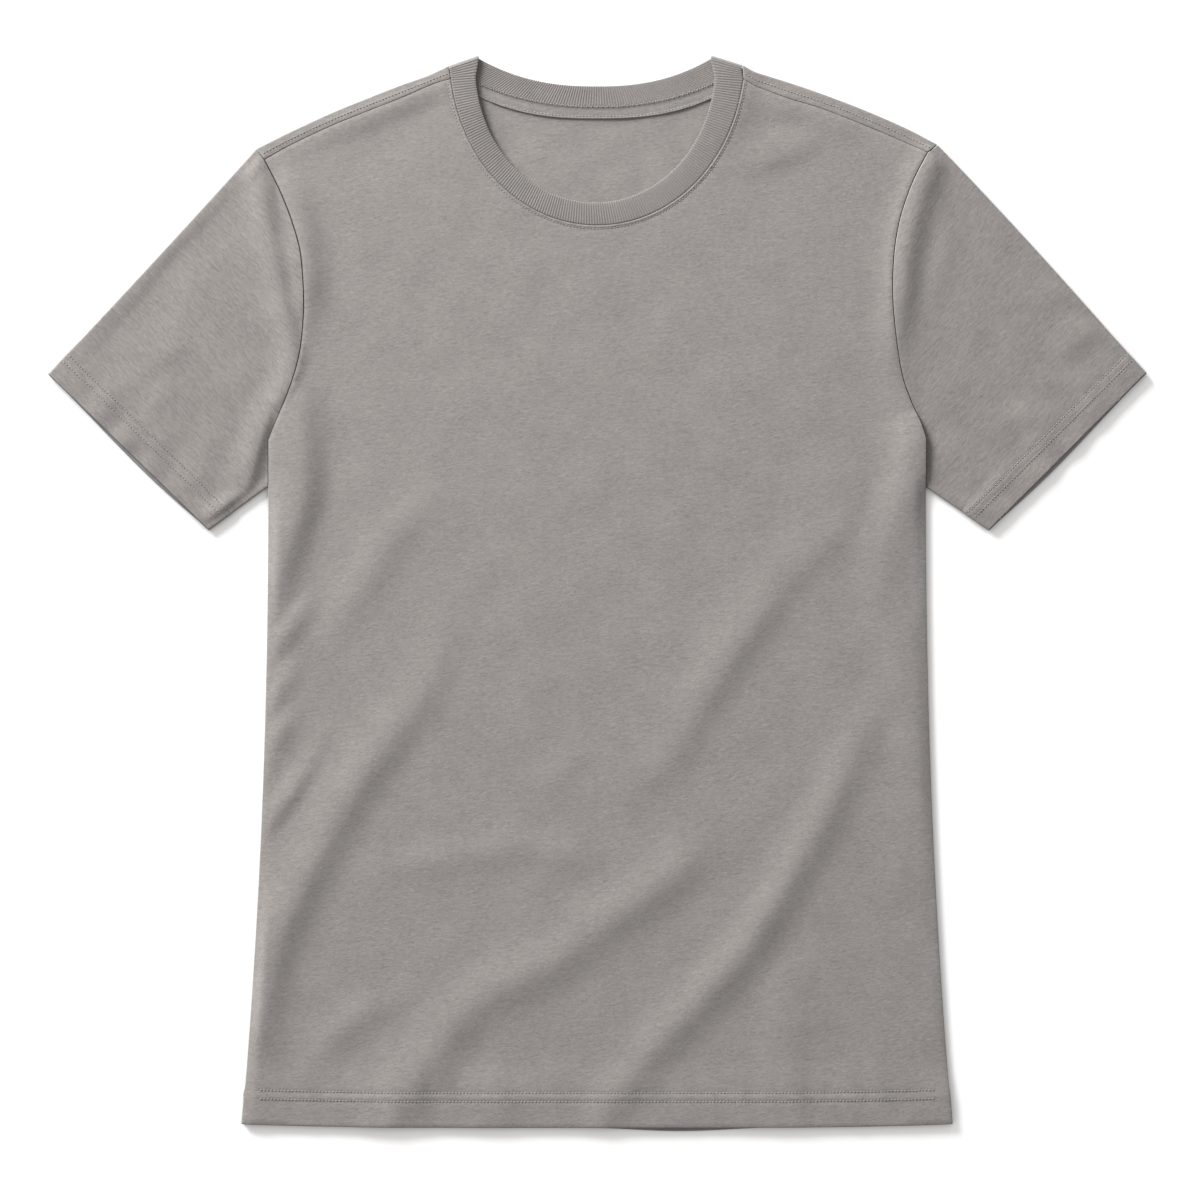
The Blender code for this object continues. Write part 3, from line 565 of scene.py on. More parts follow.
BODY_FOLDS = (
    Fold("left_hip", near=14.0, far=20.0, path=(
        (-100, -12, 0.0), (-112, -45, 0.8), (-124, -73, 1.3), (-146, -103, 1.9), (-164, -127, 2.2),
        (-178, -151, 2.4), (-193, -177, 2.5), (-206, -204, 2.7), (-220, -234, 2.9), (-229, -266, 3.0),
        (-235, -298, 2.6), (-238, -322, 1.4), (-240, -345, 0.9), (-242, -370, 0.6),
    )),
    Fold("centre_hem", near=16.0, far=19.0, path=(
        (78, -166, 0.3), (60, -190, 1.5), (38, -208, 2.0), (20, -220, 2.1), (-3, -236, 2.0),
        (-25, -253, 1.9), (-50, -267, 1.9), (-75, -280, 1.9), (-95, -296, 1.9), (-110, -314, 1.9),
        (-125, -334, 2.1), (-138, -355, 2.0), (-146, -374, 1.8),
    )),
    Fold("right_hem", near=14.0, far=14.5, path=(
        (195, -78, 0.2), (179, -113, 1.3), (163, -148, 2.1), (149, -174, 2.2), (136, -197, 2.3),
        (117, -229, 2.5), (104, -249, 2.5), (81, -274, 2.3), (61, -296, 2.0), (43, -314, 1.8),
        (28, -335, 1.6), (14, -350, 1.4), (4, -374, 1.1),
    )),
    Fold("right_waist", near=12.5, far=20.0, path=(
        (184, 92, 0.0), (176, 64, 0.5), (160, 38, 0.9), (138, 16, 1.1), (119, -8, 1.4),
        (102, -31, 1.7), (87, -55, 1.7), (73, -78, 1.4), (57, -104, 1.1), (43, -123, 0.8),
        (22, -140, 0.5), (2, -157, 0.0),
    )),
    Fold("left_waist", near=13.0, far=14.0, path=(
        (-98, 80, 0.0), (-118, 66, 0.6), (-136, 47, 0.9), (-149, 30, 1.0), (-160, 10, 1.0),
        (-172, -10, 0.8), (-183, -30, 0.5), (-196, -48, 0.0),
    )),
    Fold("hip_across", near=14.0, far=11.0, path=(
        (-160, -196, 0.2), (-125, -188, 0.9), (-95, -183, 0.8), (-50, -179, 0.8), (-20, -185, 0.6),
        (10, -197, 0.0),
    )),
    Fold("left_foot", near=11.0, far=12.0, path=(
        (-116, -276, 0.0), (-150, -288, 0.6), (-170, -298, 0.8), (-187, -314, 0.8), (-203, -334, 0.3),
    )),
    Fold("left_roll", near=12.0, far=24.0, path=(
        (-208, 168, 0.2), (-208, 146, 1.0), (-209, 124, 2.1), (-207, 102, 2.6), (-205, 82, 2.6),
        (-208, 62, 2.6), (-213, 45, 2.6), (-220, 24, 2.4), (-225, 4, 1.8), (-227, -14, 0.8),
        (-228, -30, 0.2),
    )),
    Fold("inside_left_roll", near=22.0, far=9.0, path=(
        (-188, 128, -0.2), (-186, 104, -0.6), (-185, 82, -0.65), (-188, 62, -0.65), (-194, 45, -0.6),
        (-202, 24, -0.5), (-209, 4, -0.3), (-213, -10, 0.0),
    )),
    Fold("right_roll", near=22.0, far=15.0, path=(
        (223, 130, 0.4), (224, 116, 2.2), (223, 100, 3.0), (221, 84, 3.0), (215, 68, 2.4),
        (209, 50, 1.8), (203, 22, 1.3), (203, -5, 0.9), (209, -30, 0.9), (214, -60, 1.0),
        (219, -90, 0.9), (224, -120, 1.0), (222, -150, 0.8), (217, -190, 0.5), (215, -230, 0.0),
    )),
    Fold("right_foot", near=16.0, far=15.0, path=(
        (141, -250, 0.0), (136, -280, 0.8), (130, -310, 0.9), (132, -345, 0.9), (133, -374, 0.7),
    )),
    Fold("hem_ripple", near=14.0, far=15.0, path=((-80, -318, 0.0), (-76, -345, 0.8), (-73, -374, 0.8))),
    Fold("left_pucker_1", near=9.0, far=8.0, path=(
        (-227, -44, 0.5), (-215, -25, 1.3), (-203, -8, 0.6), (-196, 4, 0.0),
    )),
    Fold("left_pucker_2", near=9.0, far=8.0, path=(
        (-230, -84, 0.4), (-221, -66, 1.2), (-210, -48, 0.5), (-202, -36, 0.0),
    )),
    Fold("left_pucker_3", near=8.0, far=8.0, path=(
        (-230, -114, 0.5), (-222, -98, 1.1), (-212, -82, 0.4), (-205, -70, 0.0),
    )),
    Fold("left_pucker_4", near=8.0, far=8.0, path=(
        (-232, -164, 0.5), (-221, -149, 1.4), (-209, -132, 1.2), (-196, -112, 0.5), (-184, -90, 0.0),
    )),
    Fold("left_shoulder", near=8.0, far=16.0, path=(
        (-106, 356, 0.2), (-118, 350, 0.5), (-135, 343, 0.6), (-155, 335, 0.5), (-175, 328, 0.4),
        (-195, 321, 0.2), (-215, 312, 0.0),
    )),
    Fold("under_left_shoulder", near=26.0, far=7.5, path=(
        (-104, 343, -0.2), (-122, 336, -0.65), (-145, 326, -0.65), (-168, 316, -0.55),
        (-190, 307, -0.35), (-210, 298, 0.0),
    )),
    Fold("right_shoulder", near=9.0, far=10.0, path=(
        (108, 349, 0.3), (124, 343, 1.0), (142, 337, 0.7), (165, 327, 0.5), (192, 320, 0.0),
    )),
    Fold("beside_neck", near=15.0, far=8.5, path=(
        (88, 299, 0.4), (104, 301, 0.7), (120, 304, 0.85), (137, 310, 0.8), (150, 318, 0.5),
        (160, 327, 0.15),
    )),
    Fold("chest_arc", near=9.0, far=9.0, path=((-44, -138, 0.0), (-22, -122, 0.4), (0, -104, 0.0))),
)

ARMHOLE_FOLDS = (
    Fold("left_head", near=8.0, far=10.5, path=(
        (-241, 306, 1.2), (-234, 285, 2.3), (-230, 262, 2.5), (-226, 240, 2.5), (-221, 215, 2.5),
        (-216, 190, 2.3), (-212, 168, 2.2), (-215, 150, 2.2), (-223, 135, 2.0), (-230, 122, 1.0),
    )),
    Fold("left_seam", near=11.0, far=17.0, path=(
        (-222, 296, 0.3), (-214, 282, 1.2), (-208, 262, 2.0), (-205, 240, 2.5), (-202, 220, 2.7),
        (-204, 203, 2.0), (-206, 184, 1.0), (-208, 164, 0.4),
    )),
    Fold("right_seam", near=9.0, far=13.0, path=(
        (238, 308, 2.2), (230, 290, 3.0), (222, 264, 3.0), (217, 240, 3.0), (214, 215, 3.0),
        (211, 192, 2.4), (210, 172, 1.3), (212, 150, 0.8), (217, 132, 0.6),
    )),
)

SLEEVE_FOLDS = (
    Fold("left_armpit", near=5.5, far=11.0, path=(
        (-228, 130, 1.2), (-234, 112, 2.2), (-239, 95, 2.2), (-243, 80, 1.6), (-248, 71, 0.6),
    )),
    Fold("left_top", near=18.0, far=6.5, path=(
        (-245, 284, -0.3), (-265, 262, -0.5), (-287, 240, -0.5), (-306, 217, -0.65),
        (-322, 198, -0.55), (-339, 179, -0.65), (-355, 161, -0.2), (-367, 148, -0.1),
    )),
    Fold("left_foot_edge", near=6.0, far=6.0, path=((-240, 78, 0.5), (-255, 66, 0.9), (-270, 55, 0.7))),
    Fold("left_mid", near=8.0, far=8.0, path=((-280, 179, 0.0), (-296, 170, 0.5), (-318, 155, 0.0))),
    Fold("left_cuff", near=8.0, far=8.0, path=((-294, 152, 0.0), (-304, 138, 0.5), (-316, 118, 0.2))),
    Fold("right_top_1", near=9.0, far=9.0, path=((352, 186, 0.9), (336, 177, 0.8), (318, 160, 0.0))),
    Fold("right_top_2", near=9.0, far=9.0, path=((330, 211, 0.8), (316, 208, 0.6), (300, 196, 0.0))),
    Fold("right_cuff_1", near=8.0, far=8.0, path=((340, 149, 0.2), (320, 147, 0.5), (296, 146, 0.0))),
    Fold("right_cuff_2", near=8.0, far=8.0, path=((312, 125, 0.4), (294, 123, 0.5), (272, 122, 0.0))),
    Fold("right_head", near=9.0, far=9.0, path=(
        (247, 262, 0.0), (243, 240, 0.5), (236, 205, 0.4), (230, 180, 0.0),
    )),
)


@dataclass(frozen=True)
class Relief:
    """Heights of the top layer: its folds, its hem and the fall to its side edges."""

    edge_calm: float = 7.0
    hem_top: float = 3.6
    side_top: float = 2.75
    side_fall: float = 4.0
    neck_rise: float = 0.15
    beside_neck: Pair = (0.6, 1.4)
    neck_rise_between: Pair = (290.0, 340.0)
    neck_rise_width: float = 14.0
    underarm_blend: float = 12.0
    path_parts: int = 30

    def lift(self, points: Array, folds: Sequence[Fold]) -> Array:
        """Adds up what folds do to a surface.

        Args:
            points: Plan points.
            folds: The folds.

        Returns:
            The rise of the highest ridge at each point, less the depth of the deepest trough.
        """
        raised, sunk = np.zeros(len(points)), np.zeros(len(points))
        for fold in folds:
            line = smooth(fold.path, self.path_parts)
            away, along = nearest(points, line[:, :2])
            height = np.interp(along, np.linspace(0.0, 1.0, len(line)), line[:, 2])
            width = np.where(away > 0, fold.near, fold.far)
            raised = np.maximum(raised, height * bump_at(away, width))
            sunk = np.minimum(sunk, height * bump_at(away, width))
        return raised + sunk

    def neck_lift(self, points: Array) -> Array:
        """Returns how far the neckband beside it raises each plan point."""
        away = nearest(points, NECK.front_seam(NECK_PARTS))[0]
        beside = np.where(points[:, 0] < 0, *self.beside_neck)
        height = ease(*self.neck_rise_between, points[:, 1])
        rise = self.neck_rise + (beside - self.neck_rise) * height
        return rise * bump_at(away, self.neck_rise_width)

    def front(self, points: Array) -> Array:
        """Returns the height of the front panel's outer side.

        Args:
            points: Plan points of the panel.

        Returns:
            The height at each, without the small relief of seams and hems.
        """
        x, y = points.T
        from_side = BODICE.half_width(y) - np.abs(x)
        underarm = BODICE.underarm_y
        below = 1.0 - ease(underarm - self.underarm_blend, underarm + self.underarm_blend, y)
        calm = 1.0 - below * (1.0 - ease(0.0, self.edge_calm, from_side))
        slope = 1.0 - ease(BODICE.hem_y + BODICE.hem_depth, BODICE.hem_y + 2 * BODICE.hem_depth, y)
        side_fall = (CLOTH.layered - self.side_top) * below * bump_at(from_side, self.side_fall)
        plain = CLOTH.layered + (self.hem_top - CLOTH.layered) * slope - side_fall * (1.0 - slope)
        folds = self.lift(points, BODY_FOLDS + ARMHOLE_FOLDS)
        return plain + self.neck_lift(points) + calm * folds


RELIEF = Relief()


# ---- meshes


def between(rows: Sequence[Array], closed: bool = False) -> list[Face]:
    """Makes faces between rows of point numbers.

    Args:
        rows: The rows, each with the same count of numbers.
        closed: Whether each row's end joins its start.

    Returns:
        The faces.
    """
    faces = []
    for lower, upper in zip(rows, rows[1:]):
        for k in range(len(lower) if closed else len(lower) - 1):
            n = (k + 1) % len(lower)
            faces.append((lower[k], lower[n], upper[n], upper[k]))
    return faces


class Shell:
    """A thin wall of cloth, from its outer side, its thickness and its rounded rims."""

    RIM_STEPS = 5

    def __init__(self) -> None:
        """Starts with no points."""
        self.points: list[Array] = []
        self.inward: list[Array] = []
        self.shade: list[Array] = []
        self.rim_painted_shade: list[Array] = []
        self.faces: list[Face] = []
        self.count = 0

    def add(
        self, points: Array, inward: Array, shade: Array | float = 0.0, rim_painted_shade: Array | float = 0.0,
    ) -> Array:
        """Adds points of the outer side.

        Args:
            points: Where they are.
            inward: The vector from each to the inner side.
            shade: How much shade is painted on each, from 0 to 1, where it lies deep in a stitch hole.
            rim_painted_shade: The same painted shade for the rim that starts from each, where it lies in
                a seam.

        Returns:
            Their numbers.
        """
        numbers = np.arange(self.count, self.count + len(points))
        self.points.append(np.asarray(points, dtype=float))
        self.inward.append(np.asarray(inward, dtype=float) * np.ones((len(points), 1)))
        self.shade.append(shade * np.ones(len(points)))
        self.rim_painted_shade.append(rim_painted_shade * np.ones(len(points)))
        self.count += len(points)
        return numbers

    def build(self, name: str, painted_reverse_light: float = 0.0) -> Object:
        """Closes the wall with an inner side and round rims.

        Args:
            name: The new object's name.
            painted_reverse_light: How much paler the cloth's reverse is painted, as painted light.

        Returns:
            The object, with an attribute named stitch_shade on its points.
        """
        outer, inward = np.vstack(self.points), np.vstack(self.inward)
        shade = np.concatenate(self.shade)
        rim = self._rim()
        ring = [start for start, _ in rim]
        place = {number: k for k, number in enumerate(ring)}
        ways = np.zeros((len(ring), 3))
        for start, end in rim:
            way = outer[end] - outer[start]
            way /= np.linalg.norm(way)
            ways[place[start]] += way
            ways[place[end]] += way
        out = np.cross(inward[ring], ways)
        out /= np.linalg.norm(out, axis=1)[:, None]
        half = inward[ring] / 2
        radius = np.linalg.norm(half, axis=1)[:, None]
        blocks = [outer, outer + inward]
        for step in range(1, self.RIM_STEPS):
            angle = math.pi * step / self.RIM_STEPS
            blocks.append(outer[ring] + half * (1 - math.cos(angle)) + out * radius * math.sin(angle))
        count, round_count = len(outer), len(ring)
        faces = list(self.faces)
        faces += [tuple(k + count for k in reversed(face)) for face in self.faces]
        rows = [np.array(ring)]
        rows += [np.arange(round_count) + 2 * count + k * round_count for k in range(self.RIM_STEPS - 1)]
        rows.append(np.array(ring) + count)
        for start, end in rim:
            a, b = place[start], place[end]
            for upper, lower in zip(rows, rows[1:]):
                faces.append((upper[b], upper[a], lower[a], lower[b]))
        # Painted shade in needle holes and on seam rims; painted light, below 0, on the inner side.
        seam = np.concatenate(self.rim_painted_shade)[ring]
        shades = [shade, np.full(count, -painted_reverse_light)] + [seam] * (self.RIM_STEPS - 1)
        return mesh_object(name, np.vstack(blocks), faces, np.concatenate(shades))

    def _rim(self) -> list[tuple[int, int]]:
        """Returns the edges that only one face uses, in that face's direction."""
        used_once: dict[tuple[int, int], None] = {}
        for face in self.faces:
            for start, end in zip(face, face[1:] + face[:1]):
                if (end, start) in used_once:
                    del used_once[(end, start)]
                else:
                    used_once[(start, end)] = None
        return list(used_once)


def mesh_object(name: str, points: Array, faces: Sequence[Sequence[int]], shade: Array) -> Object:
    """Makes a smooth-shaded object at the origin.

    Args:
        name: Its name.
        points: Its points in millimetres.
        faces: Its faces' point numbers.
        shade: The painted shade of each point, or painted light where below 0.

    Returns:
        The object, in the scene.
    """
    data = bpy.data.meshes.new(name)
    data.from_pydata((points * MM).tolist(), [], [tuple(int(k) for k in face) for face in faces])
    # Shade and light painted into the colour, which the cloth's material reads.
    layer = data.attributes.new("stitch_shade", "FLOAT", "POINT")
    layer.data.foreach_set("value", shade.astype(np.float32))
    work = bmesh.new()
    work.from_mesh(data)
    bmesh.ops.recalc_face_normals(work, faces=work.faces)
    work.to_mesh(data)
    work.free()
    data.shade_smooth()
    piece = bpy.data.objects.new(name, data)
    bpy.context.scene.collection.objects.link(piece)
    return piece


def fill(
    outline: Array,
    spacing: Callable[[Array], Array],
    pitch: float,
    bands: Sequence[Array],
    clear: float,
) -> tuple[Array, list[Face]]:
    """Triangulates an outline with points inside it.

    Args:
        outline: The closed outline, counter-clockwise.
        spacing: Says at each point how many pitches apart the points lie, as a whole number.
        pitch: The closest spacing of the points.
        bands: Rows of points that are kept where they are, such as those along a seam.
        clear: How far the other points keep from them and from the outline.

    Returns:
        The points, the outline's first, and the faces.
    """
    low, high = outline.min(axis=0), outline.max(axis=0)
    rise = pitch * math.sqrt(3) / 2
    across = np.arange(int((high[0] - low[0]) / pitch) + 2)
    grid, column, row = [], [], []
    for level in range(int((high[1] - low[1]) / rise) + 1):
        x = low[0] + (across + 0.5 * (level % 2)) * pitch
        grid.append(np.column_stack((x, np.full(len(x), low[1] + level * rise))))
        column.append(across)
        row.append(np.full(len(x), level))
    grid = np.vstack(grid)
    step = spacing(grid)
    kept = (np.concatenate(column) % step == 0) & (np.concatenate(row) % step == 0)
    grid = grid[kept]
    grid = grid[inside(grid, outline)]
    ring = np.vstack((outline, outline[:1]))
    for line in (ring, *bands):
        grid = grid[np.abs(nearest(grid, line)[0]) > clear]
    rows = [band[inside(band, outline)] for band in bands]
    rows = [band[np.abs(nearest(band, ring)[0]) > BAND_CLEAR * clear] for band in rows if len(band)]
    points = np.vstack((outline, grid, *rows))
    edges = [(k, (k + 1) % len(outline)) for k in range(len(outline))]
    _, _, faces, sources, *_ = delaunay_2d_cdt([Vector(p) for p in points], edges, [], 1, 1e-6)
    return points, [tuple(sources[k][0] for k in face) for face in faces]


# ---- finishes


def linear(hex_colour: str) -> tuple[float, float, float, float]:
    """Returns an sRGB hex colour as linear red, green, blue and alpha."""
    channels = [int(hex_colour[k : k + 2], 16) / 255 for k in (1, 3, 5)]
    return (*(c / 12.92 if c <= 0.04045 else ((c + 0.055) / 1.055) ** 2.4 for c in channels), 1.0)


def add_node(
    tree: NodeTree, kind: str, settings: dict[str, object] | None = None,
    inputs: dict[str | int, object] | None = None,
) -> bpy.types.Node:
    """Adds a shader node with its settings, values and links.

    Args:
        tree: The node tree.
        kind: The node's type name.
        settings: Values of the node's own properties.
        inputs: A value for each input, or the output socket that is linked to it.

    Returns:
        The node.
    """
    node = tree.nodes.new(kind)
    for name, value in (settings or {}).items():
        setattr(node, name, value)
    for name, value in (inputs or {}).items():
        if isinstance(value, Socket):
            tree.links.new(value, node.inputs[name])
        else:
            node.inputs[name].default_value = value
    return node


# A wave texture of scale 1 has a band for every turn of 20 times the place.
WAVES_PER_UNIT = 20.0


def calculate(tree: NodeTree, operation: str, *values: float | Socket) -> Socket:
    """Returns the result of a maths node with some values."""
    inputs = dict(enumerate(values))
    return add_node(tree, "ShaderNodeMath", {"operation": operation}, inputs).outputs[0]


def new_material(name: str) -> tuple[Material, NodeTree, bpy.types.Node]:
    """Returns a new material, its node tree and its shader."""
    made = bpy.data.materials.new(name)
    made.use_nodes = True
    return made, made.node_tree, made.node_tree.nodes["Principled BSDF"]


def colour_at(tree: NodeTree, hex_colour: str, level: Socket) -> Socket:
    """Returns a colour made lighter or darker by a level whose middle is 1."""
    inputs = {0: linear(hex_colour)[:3], "Scale": level}
    return add_node(tree, "ShaderNodeVectorMath", {"operation": "SCALE"}, inputs).outputs[0]


@dataclass(frozen=True)
class JerseyFinish:
    """Brushed cotton jersey in warm grey melange.

    Brushing lifts a short nap, so the cloth is matt with a faint pale bloom at grazing angles.
    The eye sees soft clouds of tone, short wavy streaks of heather along the knitted courses and,
    from close by, the grain of the stitches.
    """

    name: str = "brushed cotton jersey, grey melange"
    colour: str = "#8C8784"
    course_angle: float = 0.0
    cloud_mm: float = 26.0
    cloud_contrast: float = 0.045
    slub_mm: Pair = (9.0, 2.6)
    slub_contrast: float = 0.05
    streak_mm: Pair = (3.6, 1.0)
    streak_contrast: float = 0.2
    grain_mm: float = 0.9
    grain_contrast: float = 0.08
    # The stitches of such a jersey are about 0.6 mm wide; they are drawn at 0.9 mm to show.
    knit_mm: float = 0.9
    # How high the wales, the streaks and the grain stand.
    rises_mm: tuple[float, float, float] = (0.01, 0.1, 0.04)
    # How far the painted shade of needle holes, seam rims and rib grooves darkens the colour.
    painted_shade_strength: float = 0.9
    roughness: float = 0.92
    sheen: float = 0.12

    def material(self) -> Material:
        """Returns the material."""
        made, tree, shader = new_material(self.name)
        place = add_node(tree, "ShaderNodeTexCoord").outputs["Object"]
        turn = add_node(
            tree, "ShaderNodeMapping", {"vector_type": "POINT"},
            {"Vector": place, "Rotation": (0.0, 0.0, -self.course_angle), "Scale": (1000,) * 3},
        ).outputs["Vector"]
        clouds = self._noise(tree, turn, (self.cloud_mm,) * 3, 2.0)
        slubs = self._noise(tree, turn, (*self.slub_mm, self.slub_mm[1]), 2.0, 1.0)
        streaks = self._noise(tree, turn, (*self.streak_mm, self.streak_mm[1]), 3.0, 1.2)
        grain = self._noise(tree, turn, (self.grain_mm,) * 3, 2.0)
        level = 1.0
        for source, contrast in (
            (clouds, self.cloud_contrast), (slubs, self.slub_contrast),
            (streaks, self.streak_contrast), (grain, self.grain_contrast),
        ):
            # Noise keeps to between 0.25 and 0.75, so this runs from -contrast to +contrast.
            part = calculate(tree, "MULTIPLY_ADD", source, 4.0 * contrast, -2.0 * contrast)
            level = calculate(tree, "ADD", level, part)
        # Painted shade in needle holes, seam rims and rib grooves; painted light on a sleeve's reverse.
        hole = add_node(tree, "ShaderNodeAttribute", {"attribute_name": "stitch_shade"})
        level = calculate(tree, "MULTIPLY_ADD", hole.outputs["Fac"], -self.painted_shade_strength, level)
        tree.links.new(colour_at(tree, self.colour, level), shader.inputs["Base Color"])
        shader.inputs["Roughness"].default_value = self.roughness
        shader.inputs["Specular IOR Level"].default_value = 0.2
        shader.inputs["Sheen Weight"].default_value = self.sheen
        shader.inputs["Sheen Roughness"].default_value = 0.5
        tree.links.new(self._bump(tree, turn, streaks, grain), shader.inputs["Normal"])
        return made

    def _noise(
        self, tree: NodeTree, place: Socket, size: tuple[float, float, float], detail: float,
        distortion: float = 0.0,
    ) -> Socket:
        """Makes soft noise.

        Args:
            tree: The node tree.
            place: Where it is read, in millimetres.
            size: About how large its lumps are along each axis.
            detail: How many finer layers it has.
            distortion: How much the lumps are bent.

        Returns:
            The noise, from 0 to 1.
        """
        scaled = add_node(
            tree, "ShaderNodeVectorMath", {"operation": "DIVIDE"}, {0: place, 1: size}
        ).outputs[0]
        return add_node(
            tree, "ShaderNodeTexNoise", {"noise_dimensions": "3D"},
            {"Vector": scaled, "Scale": 1.0, "Detail": detail, "Distortion": distortion},
        ).outputs["Fac"]

    def _bump(self, tree: NodeTree, place: Socket, streaks: Socket, grain: Socket) -> Socket:
        """Raises the nap, the streaks and the knitted wales.

        Args:
            tree: The node tree.
            place: Where the wales are read, in millimetres.
            streaks: The streaks' height.
            grain: The nap's height.

        Returns:
            The normal.
        """
        wales = add_node(
            tree,
            "ShaderNodeTexWave",
            {"wave_type": "BANDS", "bands_direction": "X", "wave_profile": "SIN"},
            {
                "Vector": place, "Scale": 2.0 * math.pi / WAVES_PER_UNIT / self.knit_mm,
                "Distortion": 1.5, "Detail": 1.0,
            },
        ).outputs["Fac"]
        normal = None
        for height, rise in zip((wales, streaks, grain), self.rises_mm):
            inputs = {"Height": height, "Distance": rise * MM, "Strength": 1.0}
            if normal is not None:
                inputs["Normal"] = normal
            normal = add_node(tree, "ShaderNodeBump", None, inputs).outputs["Normal"]
        return normal


@dataclass(frozen=True)
class RibFinish(JerseyFinish):
    """1x1 rib knit of the same cotton; its ribs are modelled, so only its grain is here."""

    name: str = "cotton 1x1 rib knit, grey melange"
    cloud_mm: float = 18.0
    slub_contrast: float = 0.02
    streak_contrast: float = 0.04
    grain_mm: float = 0.8


@dataclass(frozen=True)
class SleeveFinish(JerseyFinish):
    """The jersey of a sleeve, cut from a stretch of the cloth with longer and bolder streaks."""

    streak_mm: Pair = (5.0, 0.8)
    streak_contrast: float = 0.26
    slub_mm: Pair = (14.0, 2.4)


@dataclass(frozen=True)
class ThreadFinish:
    """Spun polyester sewing thread: a little paler and smoother than the cloth round it."""

    name: str = "spun polyester thread, grey"
    colour: str = "#989390"
    twist_mm: float = 0.5
    twist_contrast: float = 0.3
    roughness: float = 0.7

    def material(self) -> Material:
        """Returns the material."""
        made, tree, shader = new_material(self.name)
        place = add_node(tree, "ShaderNodeTexCoord").outputs["Object"]
        twist = add_node(
            tree, "ShaderNodeTexNoise", None,
            {"Vector": place, "Scale": 1.0 / (self.twist_mm * MM), "Detail": 1.0},
        ).outputs["Fac"]
        darkest = 1.0 - self.twist_contrast / 2
        level = calculate(tree, "MULTIPLY_ADD", twist, self.twist_contrast, darkest)
        tree.links.new(colour_at(tree, self.colour, level), shader.inputs["Base Color"])
        shader.inputs["Roughness"].default_value = self.roughness
        shader.inputs["Specular IOR Level"].default_value = 0.3
        return made


# ---- stitches


@dataclass(frozen=True)
class StitchRow:
    """A row of topstitches along a plan line. Holes lie at whole stitches, threads between."""

    line: Array
    depth: float = 0.3
    pitch: float = 2.4
    pinch: float = 0.8
    bed: tuple[float, ...] = (-1.7, -0.8, 0.0, 0.8, 1.7)

    @property
    def count(self) -> int:
        """Number of stitches in the row."""
        return round(float(lengths(self.line)[-1]) / self.pitch)

    def holes(self, points: Array) -> Array:
        """Finds the needle holes of the row.

        Args:
            points: Plan points.

        Returns:
            How deep in a hole each of them lies.
        """
        result = np.zeros(len(points))
        reach = 4.0 * self.pinch
        low, high = self.line.min(axis=0) - reach, self.line.max(axis=0) + reach
        close = np.all((points > low) & (points < high), axis=1)
        away, along = nearest(points[close], self.line)
        pulse = np.clip(np.cos(2.0 * math.pi * along * self.count), 0.0, 1.0) ** 2
        result[close] = self.depth * pulse * bump_at(away, self.pinch)
        return result

    def beds(self) -> list[Array]:
        """Returns the rows of points that shape the cloth along and beside the stitches."""
        middle = spaced(self.line, 2 * self.count)
        return [offset_line(middle, away) for away in self.bed]

    def places(self) -> tuple[Array, Array]:
        """Returns the middle of each stitch and the plan direction it runs in."""
        middle = spaced(self.line, 2 * self.count)
        ways = np.array([unit(way) for way in np.gradient(middle, axis=0)])
        return middle[1::2], ways[1::2]


@dataclass(frozen=True)
class Thread:
    """One stitch of sewing thread, laid again and again along the rows.

    The thread of such a shirt is about 0.3 mm thick; it is drawn at 0.5 mm to show.
    """

    length: float = 1.9
    width: float = 0.52
    depth: float = 0.5
    sunk: float = 0.08
    slant: float = 0.12
    segments: int = 6
    rings: int = 5

    def model(self) -> tuple[Array, list[Face]]:
        """Models one stitch, along X with its top at +Z.

        Returns:
            Its points in millimetres and its faces.
        """
        bpy.ops.object.select_all(action="DESELECT")
        bpy.ops.mesh.primitive_uv_sphere_add(
            segments=self.segments, ring_count=self.rings, radius=0.5 * MM,
            rotation=(0.0, math.pi / 2, 0.0),
        )
        bpy.ops.object.transform_apply(location=True, rotation=True, scale=True)
        stitch = bpy.context.object
        bpy.ops.object.mode_set(mode="EDIT")
        bpy.ops.mesh.select_all(action="SELECT")
        bpy.ops.transform.resize(
            value=(self.length, self.width, self.depth), center_override=(0.0, 0.0, 0.0)
        )
        work = bmesh.from_edit_mesh(stitch.data)
        for point in work.verts:
            point.select = abs(point.co.x) > 0.4 * self.length * MM
        work.select_flush_mode()
        bpy.ops.transform.translate(value=(0.0, 0.0, -0.5 * self.depth * MM))
        bpy.ops.object.mode_set(mode="OBJECT")
        points = np.array([point.co for point in stitch.data.vertices]) / MM
        faces = [tuple(face.vertices) for face in stitch.data.polygons]
        bpy.data.objects.remove(stitch, do_unlink=True)
        return points, faces

    def lay(self, name: str, frames: Sequence[Frames], seed: int) -> Object:
        """Joins copies of the stitch along rows.

        Args:
            name: The new object's name.
            frames: For each row the stitches' middles, their ways and the way up from the cloth.
            seed: Starts the draw of how each stitch slants and lies.

        Returns:
            The object.
        """
        points, faces = self.model()
        draw = np.random.default_rng(seed)
        middles, ways, ups = (np.vstack(column) for column in zip(*frames))
        slants = draw.normal(0.0, self.slant, len(middles))[:, None]
        sizes = draw.uniform(0.9, 1.08, (len(middles), 1))
        aside = np.cross(ups, ways)
        ways, aside = ways + slants * aside, aside - slants * ways
        middles = middles + (0.5 * self.depth - self.sunk) * ups
        laid = (
            middles[:, None, :] + points[None, :, 0:1] * (sizes * ways)[:, None, :]
            + points[None, :, 1:2] * aside[:, None, :]
            + points[None, :, 2:3] * ups[:, None, :]
        )
        joined = [
            tuple(k + copy * len(points) for k in face)
            for copy in range(len(middles))
            for face in faces
        ]
        return mesh_object(name, laid.reshape(-1, 3), joined, np.zeros(laid.size // 3))


